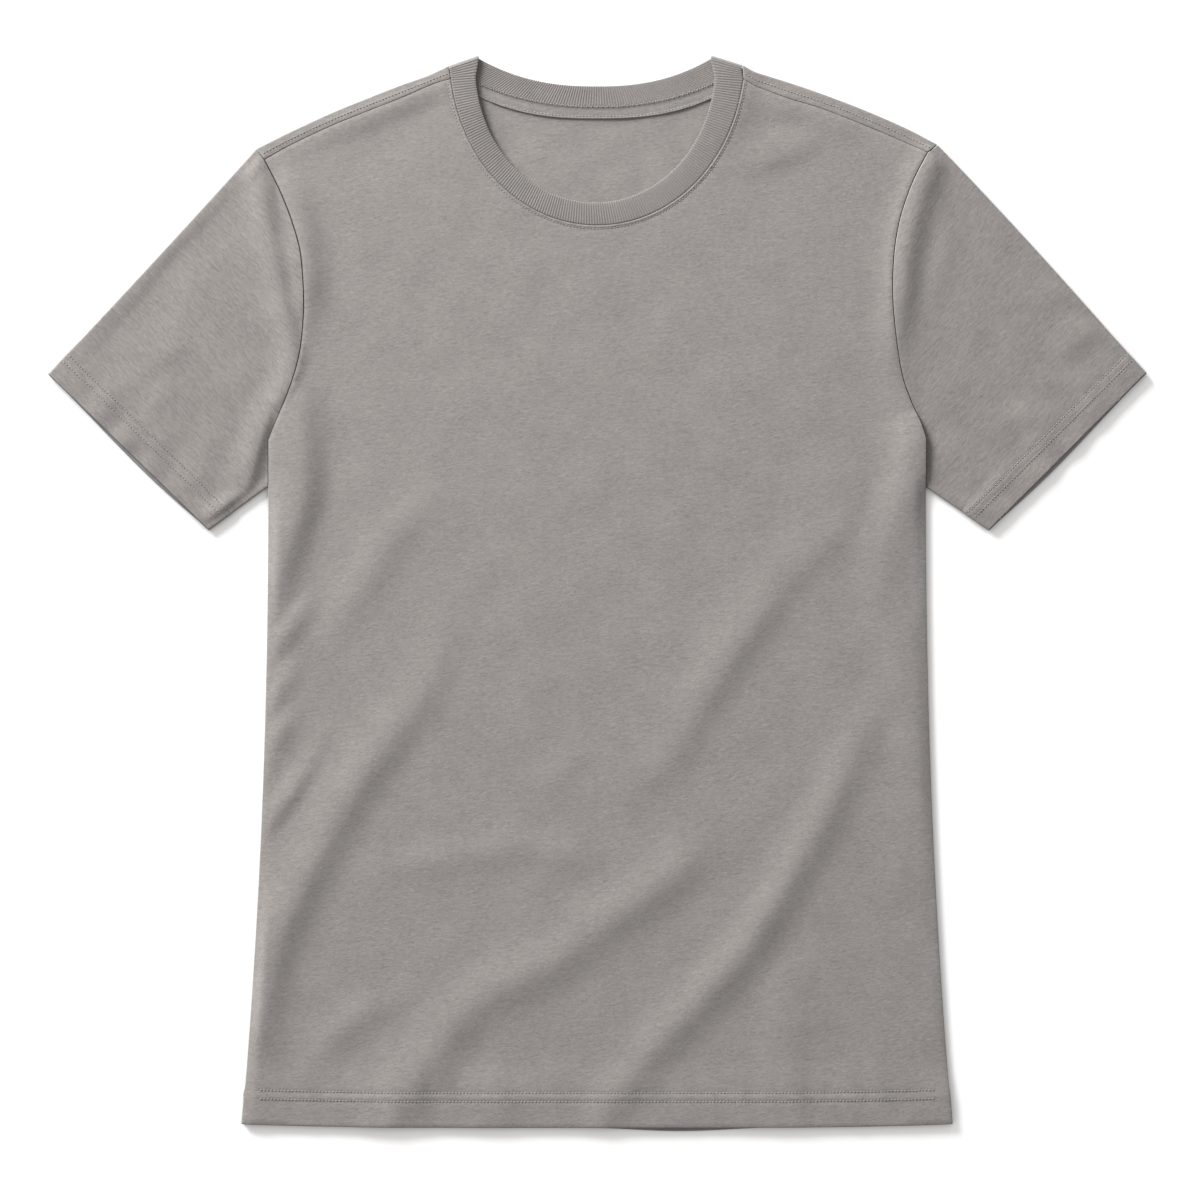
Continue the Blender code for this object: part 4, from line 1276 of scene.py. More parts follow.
def on_surface(row: StitchRow, height: Callable[[Array], Array], facing: float = 1.0) -> Frames:
    """Places a row of stitches on a surface over the plan.

    Args:
        row: The row.
        height: The surface's height at plan points.
        facing: 1 for a surface seen from above, -1 for one seen from below.

    Returns:
        The stitches' middles, their ways and the way up from the cloth.
    """
    places, ways = row.places()
    step = 0.5
    level = height(places)
    slope_x = (height(places + (step, 0.0)) - height(places - (step, 0.0))) / (2 * step)
    slope_y = (height(places + (0.0, step)) - height(places - (0.0, step))) / (2 * step)
    ups = np.column_stack((-slope_x, -slope_y, np.ones(len(places))))
    ups *= facing / np.linalg.norm(ups, axis=1)[:, None]
    ways = np.column_stack((ways, slope_x * ways[:, 0] + slope_y * ways[:, 1]))
    ways /= np.linalg.norm(ways, axis=1)[:, None]
    return np.column_stack((places, level)), ways, ups


# ---- sub-assemblies


@dataclass
class Piece:
    """A sewn piece of the shirt and what it stands for."""

    name: str
    node: str
    slot: Slot
    made: Object | None = None

    def dress(self, material: Material) -> None:
        """Gives the piece its material and body, and hides the CAD solid it stands for."""
        self.made.data.materials.append(material)
        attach(self.made, BODY)
        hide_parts(self.node)

    def declare(
        self, flat: Pair, area: float, rests_on: Sequence[str], with_pieces: Sequence[Object] = (),
    ) -> None:
        """Does nothing: the piece is not declared as a sheet of cloth.

        Args:
            flat: Width and length of its cut in millimetres. Not used.
            area: Flat area of its cut in square millimetres. Not used.
            rests_on: Names of the pieces it lies on. Not used.
            with_pieces: The stitches on it. Not used.
        """


# Places of the two shoulders among the stretches of a body outline.
RIGHT_SHOULDER_RUN = 4
LEFT_SHOULDER_RUN = 6


@dataclass
class Panel(Piece):
    """What the front and the back of the body share: an outline cut from the body's curves."""

    point_gap: float = 3.3
    edge_gap: float = 2.5
    seam_part: float = 1.2
    clear: float = 1.4
    hem_length: float = 500.0
    armhole_length: float = 210.0
    gusset_length: float = 33.0
    shoulder_length: float = 140.0
    rim: float = 0.25
    hem_rim: float = 0.8
    hem_rows: Pair = (24.7, 18.6)
    hem_blend: float = 1.5
    hem_step_out: float = 0.8
    step_out_blend: Pair = (-1.0, 5.0)

    def runs(self, shoulders: dict[Side, Array], neck: Array, low: float, peek: float) -> list[Array]:
        """Lists the stretches of a body outline, counter-clockwise from the hem's left corner.

        Args:
            shoulders: Each side's upper line, from the neck outwards.
            neck: The line across the neck, from right to left.
            low: Height of the hem's edge.
            peek: How much lower it comes at one place.

        Returns:
            The stretches.
        """
        side_parts = round((BODICE.underarm_y - low) / self.edge_gap)
        hem = BODICE.hem_line(low, peek, round(self.hem_length / self.edge_gap))
        right = BODICE.side_edge(Side.RIGHT, low, side_parts)[::-1]
        left = BODICE.side_edge(Side.LEFT, low, side_parts)
        start, end = (low + self.hem_rows[0] + way for way in self.step_out_blend)
        for line in (hem, right, left):
            within = 1.0 - ease(start, end, line[:, 1])
            line[:, 0] *= 1.0 + self.hem_step_out / BODICE.half_width(BODICE.hem_y) * within
        gusset_parts = round(self.gusset_length / self.edge_gap)
        armhole_parts = round(self.armhole_length / self.edge_gap)
        return [
            hem,
            right,
            BODICE.gusset(Side.RIGHT, gusset_parts)[::-1][1:-1],
            BODICE.armhole(Side.RIGHT, armhole_parts)[::-1],
            shoulders[Side.RIGHT][::-1],
            neck,
            shoulders[Side.LEFT],
            BODICE.armhole(Side.LEFT, armhole_parts),
            BODICE.gusset(Side.LEFT, gusset_parts)[1:-1],
            left,
        ]

    def hem_stitches(self, low: float, depth: float) -> list[StitchRow]:
        """Returns the two rows of topstitches of a hem, with holes of some depth."""
        return [StitchRow(BODICE.hem_line(low + up, 0.0, 40)[1:-1], depth=depth) for up in self.hem_rows]

    def gaps(self, outline: Array, low: float) -> Array:
        """Returns how far each edge of an outline is drawn in for its seam and its round rim."""
        in_hem = outline[:, 1] < low + self.hem_rows[0]
        return CLOTH.seam_gap / 2 + np.where(in_hem, self.hem_rim, self.rim)

    def thickness(self, points: Array, low: float) -> Array:
        """Returns the cloth's thickness at plan points, for a hem whose edge is at low."""
        top = low + self.hem_rows[0]
        return CLOTH.wall(1.0 - ease(top - self.hem_blend, top + self.hem_blend, points[:, 1]))

    def mesh(
        self, outline: Array, spacing: Callable[[Array], Array], rows: Sequence[StitchRow],
        lines: Sequence[Array] = (),
    ) -> tuple[Array, list[Face], Array]:
        """Fills an outline with points, closer beside its rows of stitches.

        Args:
            outline: The drawn-in outline.
            spacing: How many pitches apart the points lie at each place.
            rows: The rows of stitches.
            lines: Other lines that have points of their own.

        Returns:
            The plan points, the faces and how deep in a needle hole each point is.
        """
        bands = [bed for row in rows for bed in row.beds()] + list(lines)
        points, faces = fill(outline, spacing, self.point_gap, bands, self.clear)
        return points, faces, np.max([row.holes(points) for row in rows], axis=0)


@dataclass
class FrontPanel(Panel):
    """The front of the body, on top, from its hem to the neck and the shoulder seams."""

    neck_row: float = 2.4
    lip: float = 0.4
    lip_away: float = 1.1
    lip_width: float = 0.65
    lip_parts: int = 190
    hem_ridge: float = 0.3
    hem_ridge_width: float = 1.6
    row_sink: float = 0.12
    row_sink_widths: Pair = (1.2, 0.7)
    side_calm: Pair = (1.0, 16.0)
    hem_ripple_fades: Pair = (12.0, 40.0)
    hem_hole: float = 0.22
    neck_hole: float = 0.08
    hem_ripple: float = 0.14
    hem_ripple_length: Pair = (22.0, 70.0)
    soft_ripple: float = 0.1
    soft_ripple_length: Pair = (44.0, 52.0)

    def outline(self) -> Array:
        """Returns the front's outline before it is drawn in for its seams."""
        parts = round(self.shoulder_length / self.edge_gap)
        seams = {side: shoulder_lines(side, parts)[1][1:-1] for side in Side}
        neck = spaced(NECK.front_seam(NECK_PARTS)[1:-1], NECK_PARTS)[::-1]
        return np.vstack(self.runs(seams, neck, BODICE.hem_y, 0.0))

    def stitch_rows(self) -> list[StitchRow]:
        """Returns the rows of the hem and of the topstitching below the neck seam."""
        neck = offset_line(NECK.front_seam(NECK_PARTS)[2:-2], -self.neck_row)
        return [*self.hem_stitches(BODICE.hem_y, self.hem_hole), StitchRow(neck, depth=self.neck_hole)]

    def height(self, points: Array) -> Array:
        """Returns the height of the outer side.

        Args:
            points: Plan points of the panel.

        Returns:
            The height at each, with the small relief of the seams, the hem and the stitch rows.
        """
        x, y = points.T
        from_side = BODICE.half_width(y) - np.abs(x)
        calm = np.where(y < BODICE.underarm_y, ease(*self.side_calm, from_side), 1.0)
        upper, lower = (BODICE.hem_y + row for row in self.hem_rows)
        in_hem = 1.0 - ease(*(upper + up for up in self.hem_ripple_fades), y)
        ripple = self.hem_ripple * in_hem * waves(points, self.hem_ripple_length, seed=11)
        soft = self.soft_ripple * waves(points, self.soft_ripple_length, seed=5)
        hem_sink, neck_sink = self.row_sink_widths
        step = self.hem_ridge * (1.0 - ease(upper - self.hem_ridge_width, upper, y))
        step -= self.row_sink * bump_at(y - lower, hem_sink)
        neck_away = np.abs(nearest(points, NECK.front_seam(NECK_PARTS))[0])
        lip = self.lip * bump_at(neck_away - self.lip_away, self.lip_width)
        lip -= self.row_sink * bump_at(neck_away - self.neck_row, neck_sink)
        return RELIEF.front(points) + calm * (ripple + soft) + step + lip

    def build(self) -> list[StitchRow]:
        """Builds the panel and returns its rows of stitches."""
        outline = self.outline()
        outline = inset(outline, self.gaps(outline, BODICE.hem_y))
        rows = self.stitch_rows()
        lip = offset_line(spaced(NECK.front_seam(NECK_PARTS), self.lip_parts), -self.lip_away)
        points, faces, holes = self.mesh(
            outline, lambda grid: np.ones(len(grid), dtype=int), rows, [lip]
        )
        z = self.height(points) - holes
        thick = self.thickness(points, BODICE.hem_y)
        shell = Shell()
        # Painted shade in the needle holes and, above the underarm, on the seam rims.
        numbers = shell.add(
            np.column_stack((points, z)), np.column_stack((0 * z, 0 * z, -thick)), holes,
            np.where(points[:, 1] > BODICE.underarm_y, SEAM_PAINTED_SHADE, 0.0),
        )
        shell.faces = [tuple(numbers[k] for k in face) for face in faces]
        self.made = shell.build(self.name)
        return rows


@dataclass
class BackPanel(Panel):
    """The back of the body, flat below, with its shoulders turned over to the front."""

    turn_steps: int = 10
    turn_in: float = 0.12
    strip_steps: int = 8
    strip_row: float = 0.55
    strip_hole: float = 0.03
    strip_hole_width: float = 0.08
    strip_rise: float = 0.9
    strip_crown: float = 0.1
    strip_crown_power: float = 0.7
    neck_region: Pair = (118.0, 225.0)
    coarse: int = 3
    hole_depth: float = 0.3
    hidden_ripple: float = 0.3
    hidden_ripple_length: Pair = (55.0, 80.0)
    ripple_from_side: Pair = (12.0, 40.0)
    ripple_from_hem: Pair = (30.0, 60.0)
    ripple_ends: Pair = (300.0, 325.0)
    neck_ripple: float = 0.12
    neck_ripple_length: Pair = (34.0, 26.0)

    def neck_line(self) -> Array:
        """Returns the back neck seam from right to left."""
        return spaced(NECK.back_seam(60), 90)

    def underside(self, points: Array) -> Array:
        """Returns the height of the outer side, which lies on the surface.

        Args:
            points: Plan points of the panel.

        Returns:
            The height at each, 0 along the edges and the hem.
        """
        x, y = points.T
        calm = ease(*self.ripple_from_side, BODICE.half_width(y) - np.abs(x))
        calm *= ease(*self.ripple_from_hem, y - BODICE.back_hem_y)
        calm *= 1.0 - ease(*self.ripple_ends, y)
        relief = waves(points, self.hidden_ripple_length, seed=23)
        return self.hidden_ripple * calm * np.clip(relief, 0.0, None)

    def build(self) -> list[StitchRow]:
        """Builds the panel and returns its hem's rows of stitches, on the underside."""
        outward, axes = {}, {}
        for side in Side:
            edge, seam = self.strip_lines(side)
            outward[side] = self._outward(side, edge, seam)
            axes[side] = edge - outward[side] * CLOTH.fold_radius
        runs = self.runs(axes, self.neck_line(), BODICE.back_hem_y, BODICE.back_peek)
        starts = np.concatenate(([0], np.cumsum([len(run) for run in runs])))
        outline = np.vstack(runs)
        gaps = self.gaps(outline, BODICE.back_hem_y)
        for run in (RIGHT_SHOULDER_RUN, LEFT_SHOULDER_RUN):
            gaps[starts[run] : starts[run + 1] - 1] = 0.0
        outline = inset(outline, gaps)
        rows = self.hem_stitches(BODICE.back_hem_y, self.hole_depth)
        points, faces, holes = self.mesh(outline, self._spacing, rows)
        z = self.underside(points) + holes
        thick = self.thickness(points, BODICE.back_hem_y)
        shows = self._spacing(points) == 1
        thick += self.neck_ripple * shows * waves(points, self.neck_ripple_length, seed=17)
        shell = Shell()
        # Painted shade in the needle holes of the hem.
        numbers = shell.add(np.column_stack((points, z)), np.column_stack((0 * z, 0 * z, thick)), holes)
        shell.faces = [tuple(numbers[k] for k in face[::-1]) for face in faces]
        right = np.arange(starts[RIGHT_SHOULDER_RUN], starts[RIGHT_SHOULDER_RUN + 1])[::-1]
        left = np.arange(starts[LEFT_SHOULDER_RUN], starts[LEFT_SHOULDER_RUN + 1])
        for side, span in ((Side.RIGHT, right), (Side.LEFT, left)):
            self._turn_over(shell, side, numbers[span], outline[span], outward[side])
        self.made = shell.build(self.name)
        return rows

    def strip_lines(self, side: Side) -> tuple[Array, Array]:
        """Returns the folded edge and the seam that a shoulder strip lies between."""
        return shoulder_lines(side, round(self.shoulder_length / self.seam_part))

    def shoulder_row(self, side: Side) -> StitchRow:
        """Returns the row of topstitches along the middle of a shoulder strip."""
        edge, seam = self.strip_lines(side)
        return StitchRow((edge + self.strip_row * (seam - edge))[1:-1])

    def strip_lift(self, points: Array, share: float) -> Array:
        """Returns how far the folds raise a shoulder strip, share of the way to its seam."""
        folds = RELIEF.lift(points, BODY_FOLDS + ARMHOLE_FOLDS)
        return RELIEF.neck_lift(points) + folds * float(ease(0.0, self.strip_rise, share))

    def strip_height(self, points: Array) -> Array:
        """Returns the height of a shoulder strip at plan points along its middle."""
        return CLOTH.layered + self.strip_crown + self.strip_lift(points, self.strip_row)

    def _spacing(self, grid: Array) -> Array:
        """Returns a close spacing where the back shows within the neck, a wide one elsewhere."""
        half, low = self.neck_region
        shows = (np.abs(grid[:, 0]) < half) & (grid[:, 1] > low)
        return np.where(shows, 1, self.coarse)

    def _outward(self, side: Side, edge: Array, seam: Array) -> Array:
        """Finds the ways in which the turned-over shoulder bulges.

        Args:
            side: The shoulder.
            edge: Its folded edge.
            seam: The seam in front of it.

        Returns:
            A plan direction for each point of the edge, square to it but at its ends.
        """
        ways = np.gradient(edge, axis=0)
        normals = np.array([unit(side.value * turned(way)) for way in ways])
        share = np.linspace(0.0, 1.0, len(edge))
        result = normals.copy()
        for end, from_end in ((0, share), (-1, 1.0 - share)):
            weight = 1.0 - ease(0.0, self.turn_in, from_end)
            toward = unit(edge[end] - seam[end])
            result = (1.0 - weight[:, None]) * result + weight[:, None] * toward
        result /= np.linalg.norm(result, axis=1)[:, None]
        return result / np.sum(result * normals, axis=1)[:, None]

    def _turn_over(self, shell: Shell, side: Side, numbers: Array, axis: Array, outward: Array) -> None:
        """Adds the strip that turns over a shoulder and reaches the seam in front.

        Args:
            shell: The shell it is added to.
            side: The shoulder.
            numbers: The panel's points along the fold's axis, which the strip starts from.
            axis: Their places.
            outward: The plan direction in which each column bulges.
        """
        edge, seam = self.strip_lines(side)
        strip = np.vstack((edge, seam[::-1]))[:: -side.value]
        drawn = inset(strip, np.full(len(strip), CLOTH.seam_gap / 2 + self.rim))[:: -side.value]
        target = drawn[len(edge) :][::-1]
        radius = CLOTH.fold_radius
        rows = [numbers]
        for step in range(1, self.turn_steps + 1):
            angle = math.pi * step / self.turn_steps - math.pi / 2
            out, up = fold_round(angle)
            plan = axis + outward * radius * out
            rise = (radius + RELIEF.neck_lift(axis) / 2) * (1 + up)
            inward = np.column_stack((-outward * math.cos(angle), np.full(len(plan), -math.sin(angle))))
            rows.append(shell.add(np.column_stack((plan, rise)), inward * CLOTH.jersey))
        count = self.shoulder_row(side).count
        share_along = np.linspace(0.0, 1.0, len(axis))
        pulse = np.clip(np.cos(2.0 * math.pi * share_along * count), 0.0, 1.0) ** 2
        for share in np.linspace(0.0, 1.0, self.strip_steps + 1)[1:]:
            plan = axis + share * (target - axis)
            crown = self.strip_crown * max(0.0, math.sin(math.pi * share)) ** self.strip_crown_power
            hole = pulse * self.strip_hole * bump_at(share - self.strip_row, self.strip_hole_width)
            rise = CLOTH.layered + crown - hole + self.strip_lift(plan, share)
            # Painted shade in the needle holes and on the rim at the seam.
            rows.append(
                shell.add(
                    np.column_stack((plan, rise)), (0.0, 0.0, -CLOTH.jersey), hole,
                    SEAM_PAINTED_SHADE if share == 1.0 else 0.0,
                )
            )
        shell.faces += between(rows if side is Side.LEFT else [row[::-1] for row in rows])


@dataclass
class Sleeve(Piece):
    """A short sleeve: a flattened tube from the armhole to its turned-up cuff."""

    side: Side = Side.LEFT
    columns: int = 130
    turn_steps: int = 8
    row_gap: float = 5.0
    length: float = 190.0
    head_shares: tuple[float, ...] = (0.0, 0.004, 0.009, 0.016)
    plain_shares: Pair = (0.03, 0.97)
    hem_top_shares: tuple[float, ...] = (0.985, 0.992, 1.0)
    cuff_depth: float = 20.5
    cuff_rows: Pair = (20.3, 14.7)
    cuff_holes: Pair = (0.2, 0.07)
    cuff_stations: tuple[float, ...] = (
        19.5, 18.6, 17.2, 16.3, 15.5, 14.7, 13.9, 13.1, 11.5, 9.0, 6.5, 4.0, 2.0, 0.8,
    )
    reach: float = 2.2
    reach_skew: float = 1.36
    reach_power: float = 1.3
    swell_from: float = 0.88
    swell_share: float = 0.7
    cuff_step: float = 0.08
    pinch: float = 0.8
    gape: float = 0.2
    calm: float = 0.035
    armpit_sink: float = 0.7
    armpit_sink_width: float = 12.0
    ripple: float = 0.1
    ripple_length: Pair = (34.0, 34.0)
    cuff_ripple: float = 0.3
    cuff_ripple_length: Pair = (22.0, 60.0)
    cuff_ripple_from: float = 0.7
    cuff_ripple_span: Pair = (160.0, 40.0)
    rim: float = 0.25
    # Painted light: the reverse is painted paler, lifting the shaded lower layer that shows at the cuff.
    painted_reverse_light: float = 0.45

    @property
    def corner(self) -> Corners:
        """The corners of this side of the shirt."""
        return BODICE.corners[self.side]

    @property
    def onward(self) -> Array:
        """Plan direction out of the cuff."""
        foot, top = np.array(self.corner.cuff_foot), np.array(self.corner.cuff_top)
        return self.side.value * turned(unit(foot - top))

    @cached_property
    def lines(self) -> tuple[Array, ...]:
        """Returns the plan lines across the sleeve at the armhole, the hem's top and the cuff."""
        side, corner = self.side, self.corner
        head = np.vstack((corner.shoulder, BODICE.armhole(side, 84), BODICE.gusset(side, 13)[1:]))
        away = CLOTH.seam_gap / 2 + self.rim
        ways = np.gradient(head, axis=0)
        ways[0] = head[1] - head[0]
        head = head + away * np.array([unit(side.value * turned(way)) for way in ways])
        top, foot = np.array(corner.cuff_top), np.array(corner.cuff_foot)
        found = [self._trimmed(head)]
        for depth in (self.cuff_depth, 0.0):
            ends = []
            for end, root in ((top, head[0]), (foot, head[-1])):
                way = unit(root - end)
                ends.append(end + way * depth / (way @ -self.onward))
            found.append(self._trimmed(np.array(ends)))
        return tuple(spaced(line, self.columns) for line in found)

    @staticmethod
    def _trimmed(line: Array) -> Array:
        """Returns a plan line with both ends drawn in by the fold's radius."""
        line = line.copy()
        line[0] += CLOTH.fold_radius * unit(line[1] - line[0])
        line[-1] += CLOTH.fold_radius * unit(line[-2] - line[-1])
        return line

    def stations(self) -> list[Pair]:
        """Lists the rings as shares of the plain sleeve and of the cuff, from the armhole."""
        even = np.linspace(*self.plain_shares, round(self.length / self.row_gap))
        plain = (*self.head_shares, *even, *self.hem_top_shares)
        return [(share, 0.0) for share in plain] + [
            (1.0, 1.0 - depth / self.cuff_depth) for depth in self.cuff_stations
        ]

    def middle(self, plain: float, cuff: float) -> Array:
        """Draws the plan line across the sleeve at a station.

        Args:
            plain: The station's share of the plain sleeve.
            cuff: Its share of the cuff.

        Returns:
            The line, from the upper fold to the underarm.
        """
        head, hem_top, edge = self.lines
        across = np.linspace(0.0, 1.0, len(head))
        bow = self.corner.bow * self.side.value * turned(unit(edge[0] - head[0]))
        line = head + plain * (hem_top - head)
        line = line + 4 * plain * (1 - plain) * (1 - across[:, None]) * bow
        return line + cuff * (edge - hem_top)

    def radius(self, plain: float, cuff: float) -> float:
        """Returns the radius of the sleeve's folds, that grows into the thicker cuff."""
        grown = self.swell_share * ease(self.swell_from, 1.0, plain)
        grown += (1.0 - self.swell_share) * ease(0.0, self.cuff_step, cuff)
        return CLOTH.fold_radius + (CLOTH.cuff_radius - CLOTH.fold_radius) * float(grown)

    def open_by(self, cuff: float) -> Array:
        """Returns how far the layer below reaches past the top one along a cuff's line."""
        across = np.linspace(0.0, 1.0, self.columns + 1)
        return self.reach * np.sin(math.pi * across**self.reach_skew) ** self.reach_power * cuff

    def lift(self, line: Array, plain: float, cuff: float) -> Array:
        """Raises the top layer.

        Args:
            line: A station's line.
            plain: Its share of the plain sleeve.
            cuff: Its share of the cuff.

        Returns:
            How far folds, ripples and the gaping cuff raise each point of the line.
        """
        across = np.linspace(0.0, 1.0, len(line))
        calm = ease(0.0, self.calm, across) * ease(0.0, self.calm, 1.0 - across)
        folds = RELIEF.lift(line, ARMHOLE_FOLDS + SLEEVE_FOLDS)
        soft = self.ripple * waves(line, self.ripple_length, seed=31 + self.side.value)
        width, length = self.cuff_ripple_span
        along = np.column_stack((across * width, np.full(len(line), length * (plain + cuff))))
        near_cuff = ease(self.cuff_ripple_from, 1.0, plain)
        ripple = self.cuff_ripple * near_cuff * waves(along, self.cuff_ripple_length, seed=41)
        from_gusset = np.abs(nearest(line, BODICE.gusset(self.side, 4))[0])
        sink = self.armpit_sink * bump_at(from_gusset, self.armpit_sink_width)
        gape = self.gape * self.open_by(1.0) / self.reach * ease(0.2, 1.0, cuff)
        return calm * (folds + soft + ripple) - sink * calm + gape

    def build(self) -> list[Frames]:
        """Builds the sleeve and returns where its cuff's stitches lie."""
        shell = Shell()
        rows, frames = [], []
        holes = np.clip(np.cos(math.pi * np.arange(self.columns + 1)), 0.0, 1.0)
        for plain, cuff in self.stations():
            line = self.middle(plain, cuff)
            depth = self.cuff_depth * (1.0 - cuff) if plain == 1.0 else math.inf
            pinch = max(
                hole * float(bump_at(depth - row, self.pinch))
                for row, hole in zip(self.cuff_rows, self.cuff_holes)
            )
            thick = CLOTH.wall(float(ease(0.0, self.cuff_step, cuff)))
            radius = self.radius(plain, cuff)
            # Painted shade in the cuff's needle holes and on the armhole's rim.
            rows.append(
                self._ring(shell, line, radius, thick, self.lift(line, plain, cuff),
                           pinch * holes, cuff, SEAM_PAINTED_SHADE if plain == 0.0 else 0.0)
            )
        shell.faces = between(
            rows if self.side is Side.LEFT else [row[::-1] for row in rows], closed=True
        )
        self.made = shell.build(self.name, self.painted_reverse_light)
        for row in self.cuff_rows:
            frames += self._stitches(1.0 - row / self.cuff_depth)
        return frames

    def _ring(
        self, shell: Shell, line: Array, radius: float, thick: float, lift: Array,
        holes: Array, cuff: float, rim_painted_shade: float,
    ) -> Array:
        """Adds one flattened ring, over the top and back below.

        Args:
            shell: The shell it is added to.
            line: The ring's plan line.
            radius: The radius of its two folds.
            thick: The cloth's thickness there.
            lift: How far each point of the top is raised.
            holes: How deep in a needle hole each point is, which is also the shade painted on it.
            cuff: Share of the cuff's depth.
            rim_painted_shade: How much shade is painted on the rim that starts from the ring.

        Returns:
            The ring's point numbers.
        """
        low = line + self.open_by(cuff)[:, None] * self.onward
        top = 2 * radius + lift - holes
        ring = [shell.add(np.column_stack((line, top)), (0.0, 0.0, -thick), holes, rim_painted_shade)]
        out = unit(line[-1] - line[-2])
        ring.append(self._turn(shell, line[-1], low[-1], out, radius, thick, 1))
        ring.append(
            shell.add(np.column_stack((low, holes))[::-1], (0.0, 0.0, thick), holes[::-1], rim_painted_shade)
        )
        out = unit(line[0] - line[1])
        ring.append(self._turn(shell, line[0], low[0], out, radius, thick, -1))
        return np.concatenate(ring)

    def _turn(
        self, shell: Shell, upper: Array, lower: Array, out: Array, radius: float,
        thick: float, downward: int,
    ) -> Array:
        """Adds the half round of a ring at one of its folds.

        Args:
            shell: The shell it is added to.
            upper: Where it starts or ends on top.
            lower: Where it does below.
            out: The plan direction in which it bulges.
            radius: Its radius.
            thick: The cloth's thickness.
            downward: 1 to run from the top down, -1 to run up.

        Returns:
            Its point numbers.
        """
        points, inward = [], []
        for step in range(1, self.turn_steps):
            angle = downward * (math.pi / 2 - math.pi * step / self.turn_steps)
            away, up = fold_round(angle)
            plan = upper + (1 - up) / 2 * (lower - upper) + out * radius * away
            points.append((*plan, radius * (1 + up)))
            inward.append((*(-out * math.cos(angle) * thick), -math.sin(angle) * thick))
        return shell.add(np.array(points), np.array(inward))

    def _stitches(self, cuff: float) -> list[Frames]:
        """Places one of the cuff's rows of stitches.

        Args:
            cuff: The row's share of the cuff.

        Returns:
            The stitches over the top and those below.
        """
        line = self.middle(1.0, cuff)
        top = np.column_stack((line, 2 * self.radius(1.0, cuff) + self.lift(line, 1.0, cuff)))
        low = np.column_stack((line + self.open_by(cuff)[:, None] * self.onward, 0.0 * line[:, 0]))
        frames = []
        for places, facing in ((top, 1.0), (low, -1.0)):
            ways = np.gradient(places, axis=0)
            ways /= np.linalg.norm(ways, axis=1)[:, None]
            ups = np.cross(ways, np.array((*self.onward, 0.0)))
            ups *= facing * np.sign(ups[:, 2:3]) / np.linalg.norm(ups, axis=1)[:, None]
            frames.append((places[1::2], ways[1::2], ups[1::2]))
        return frames


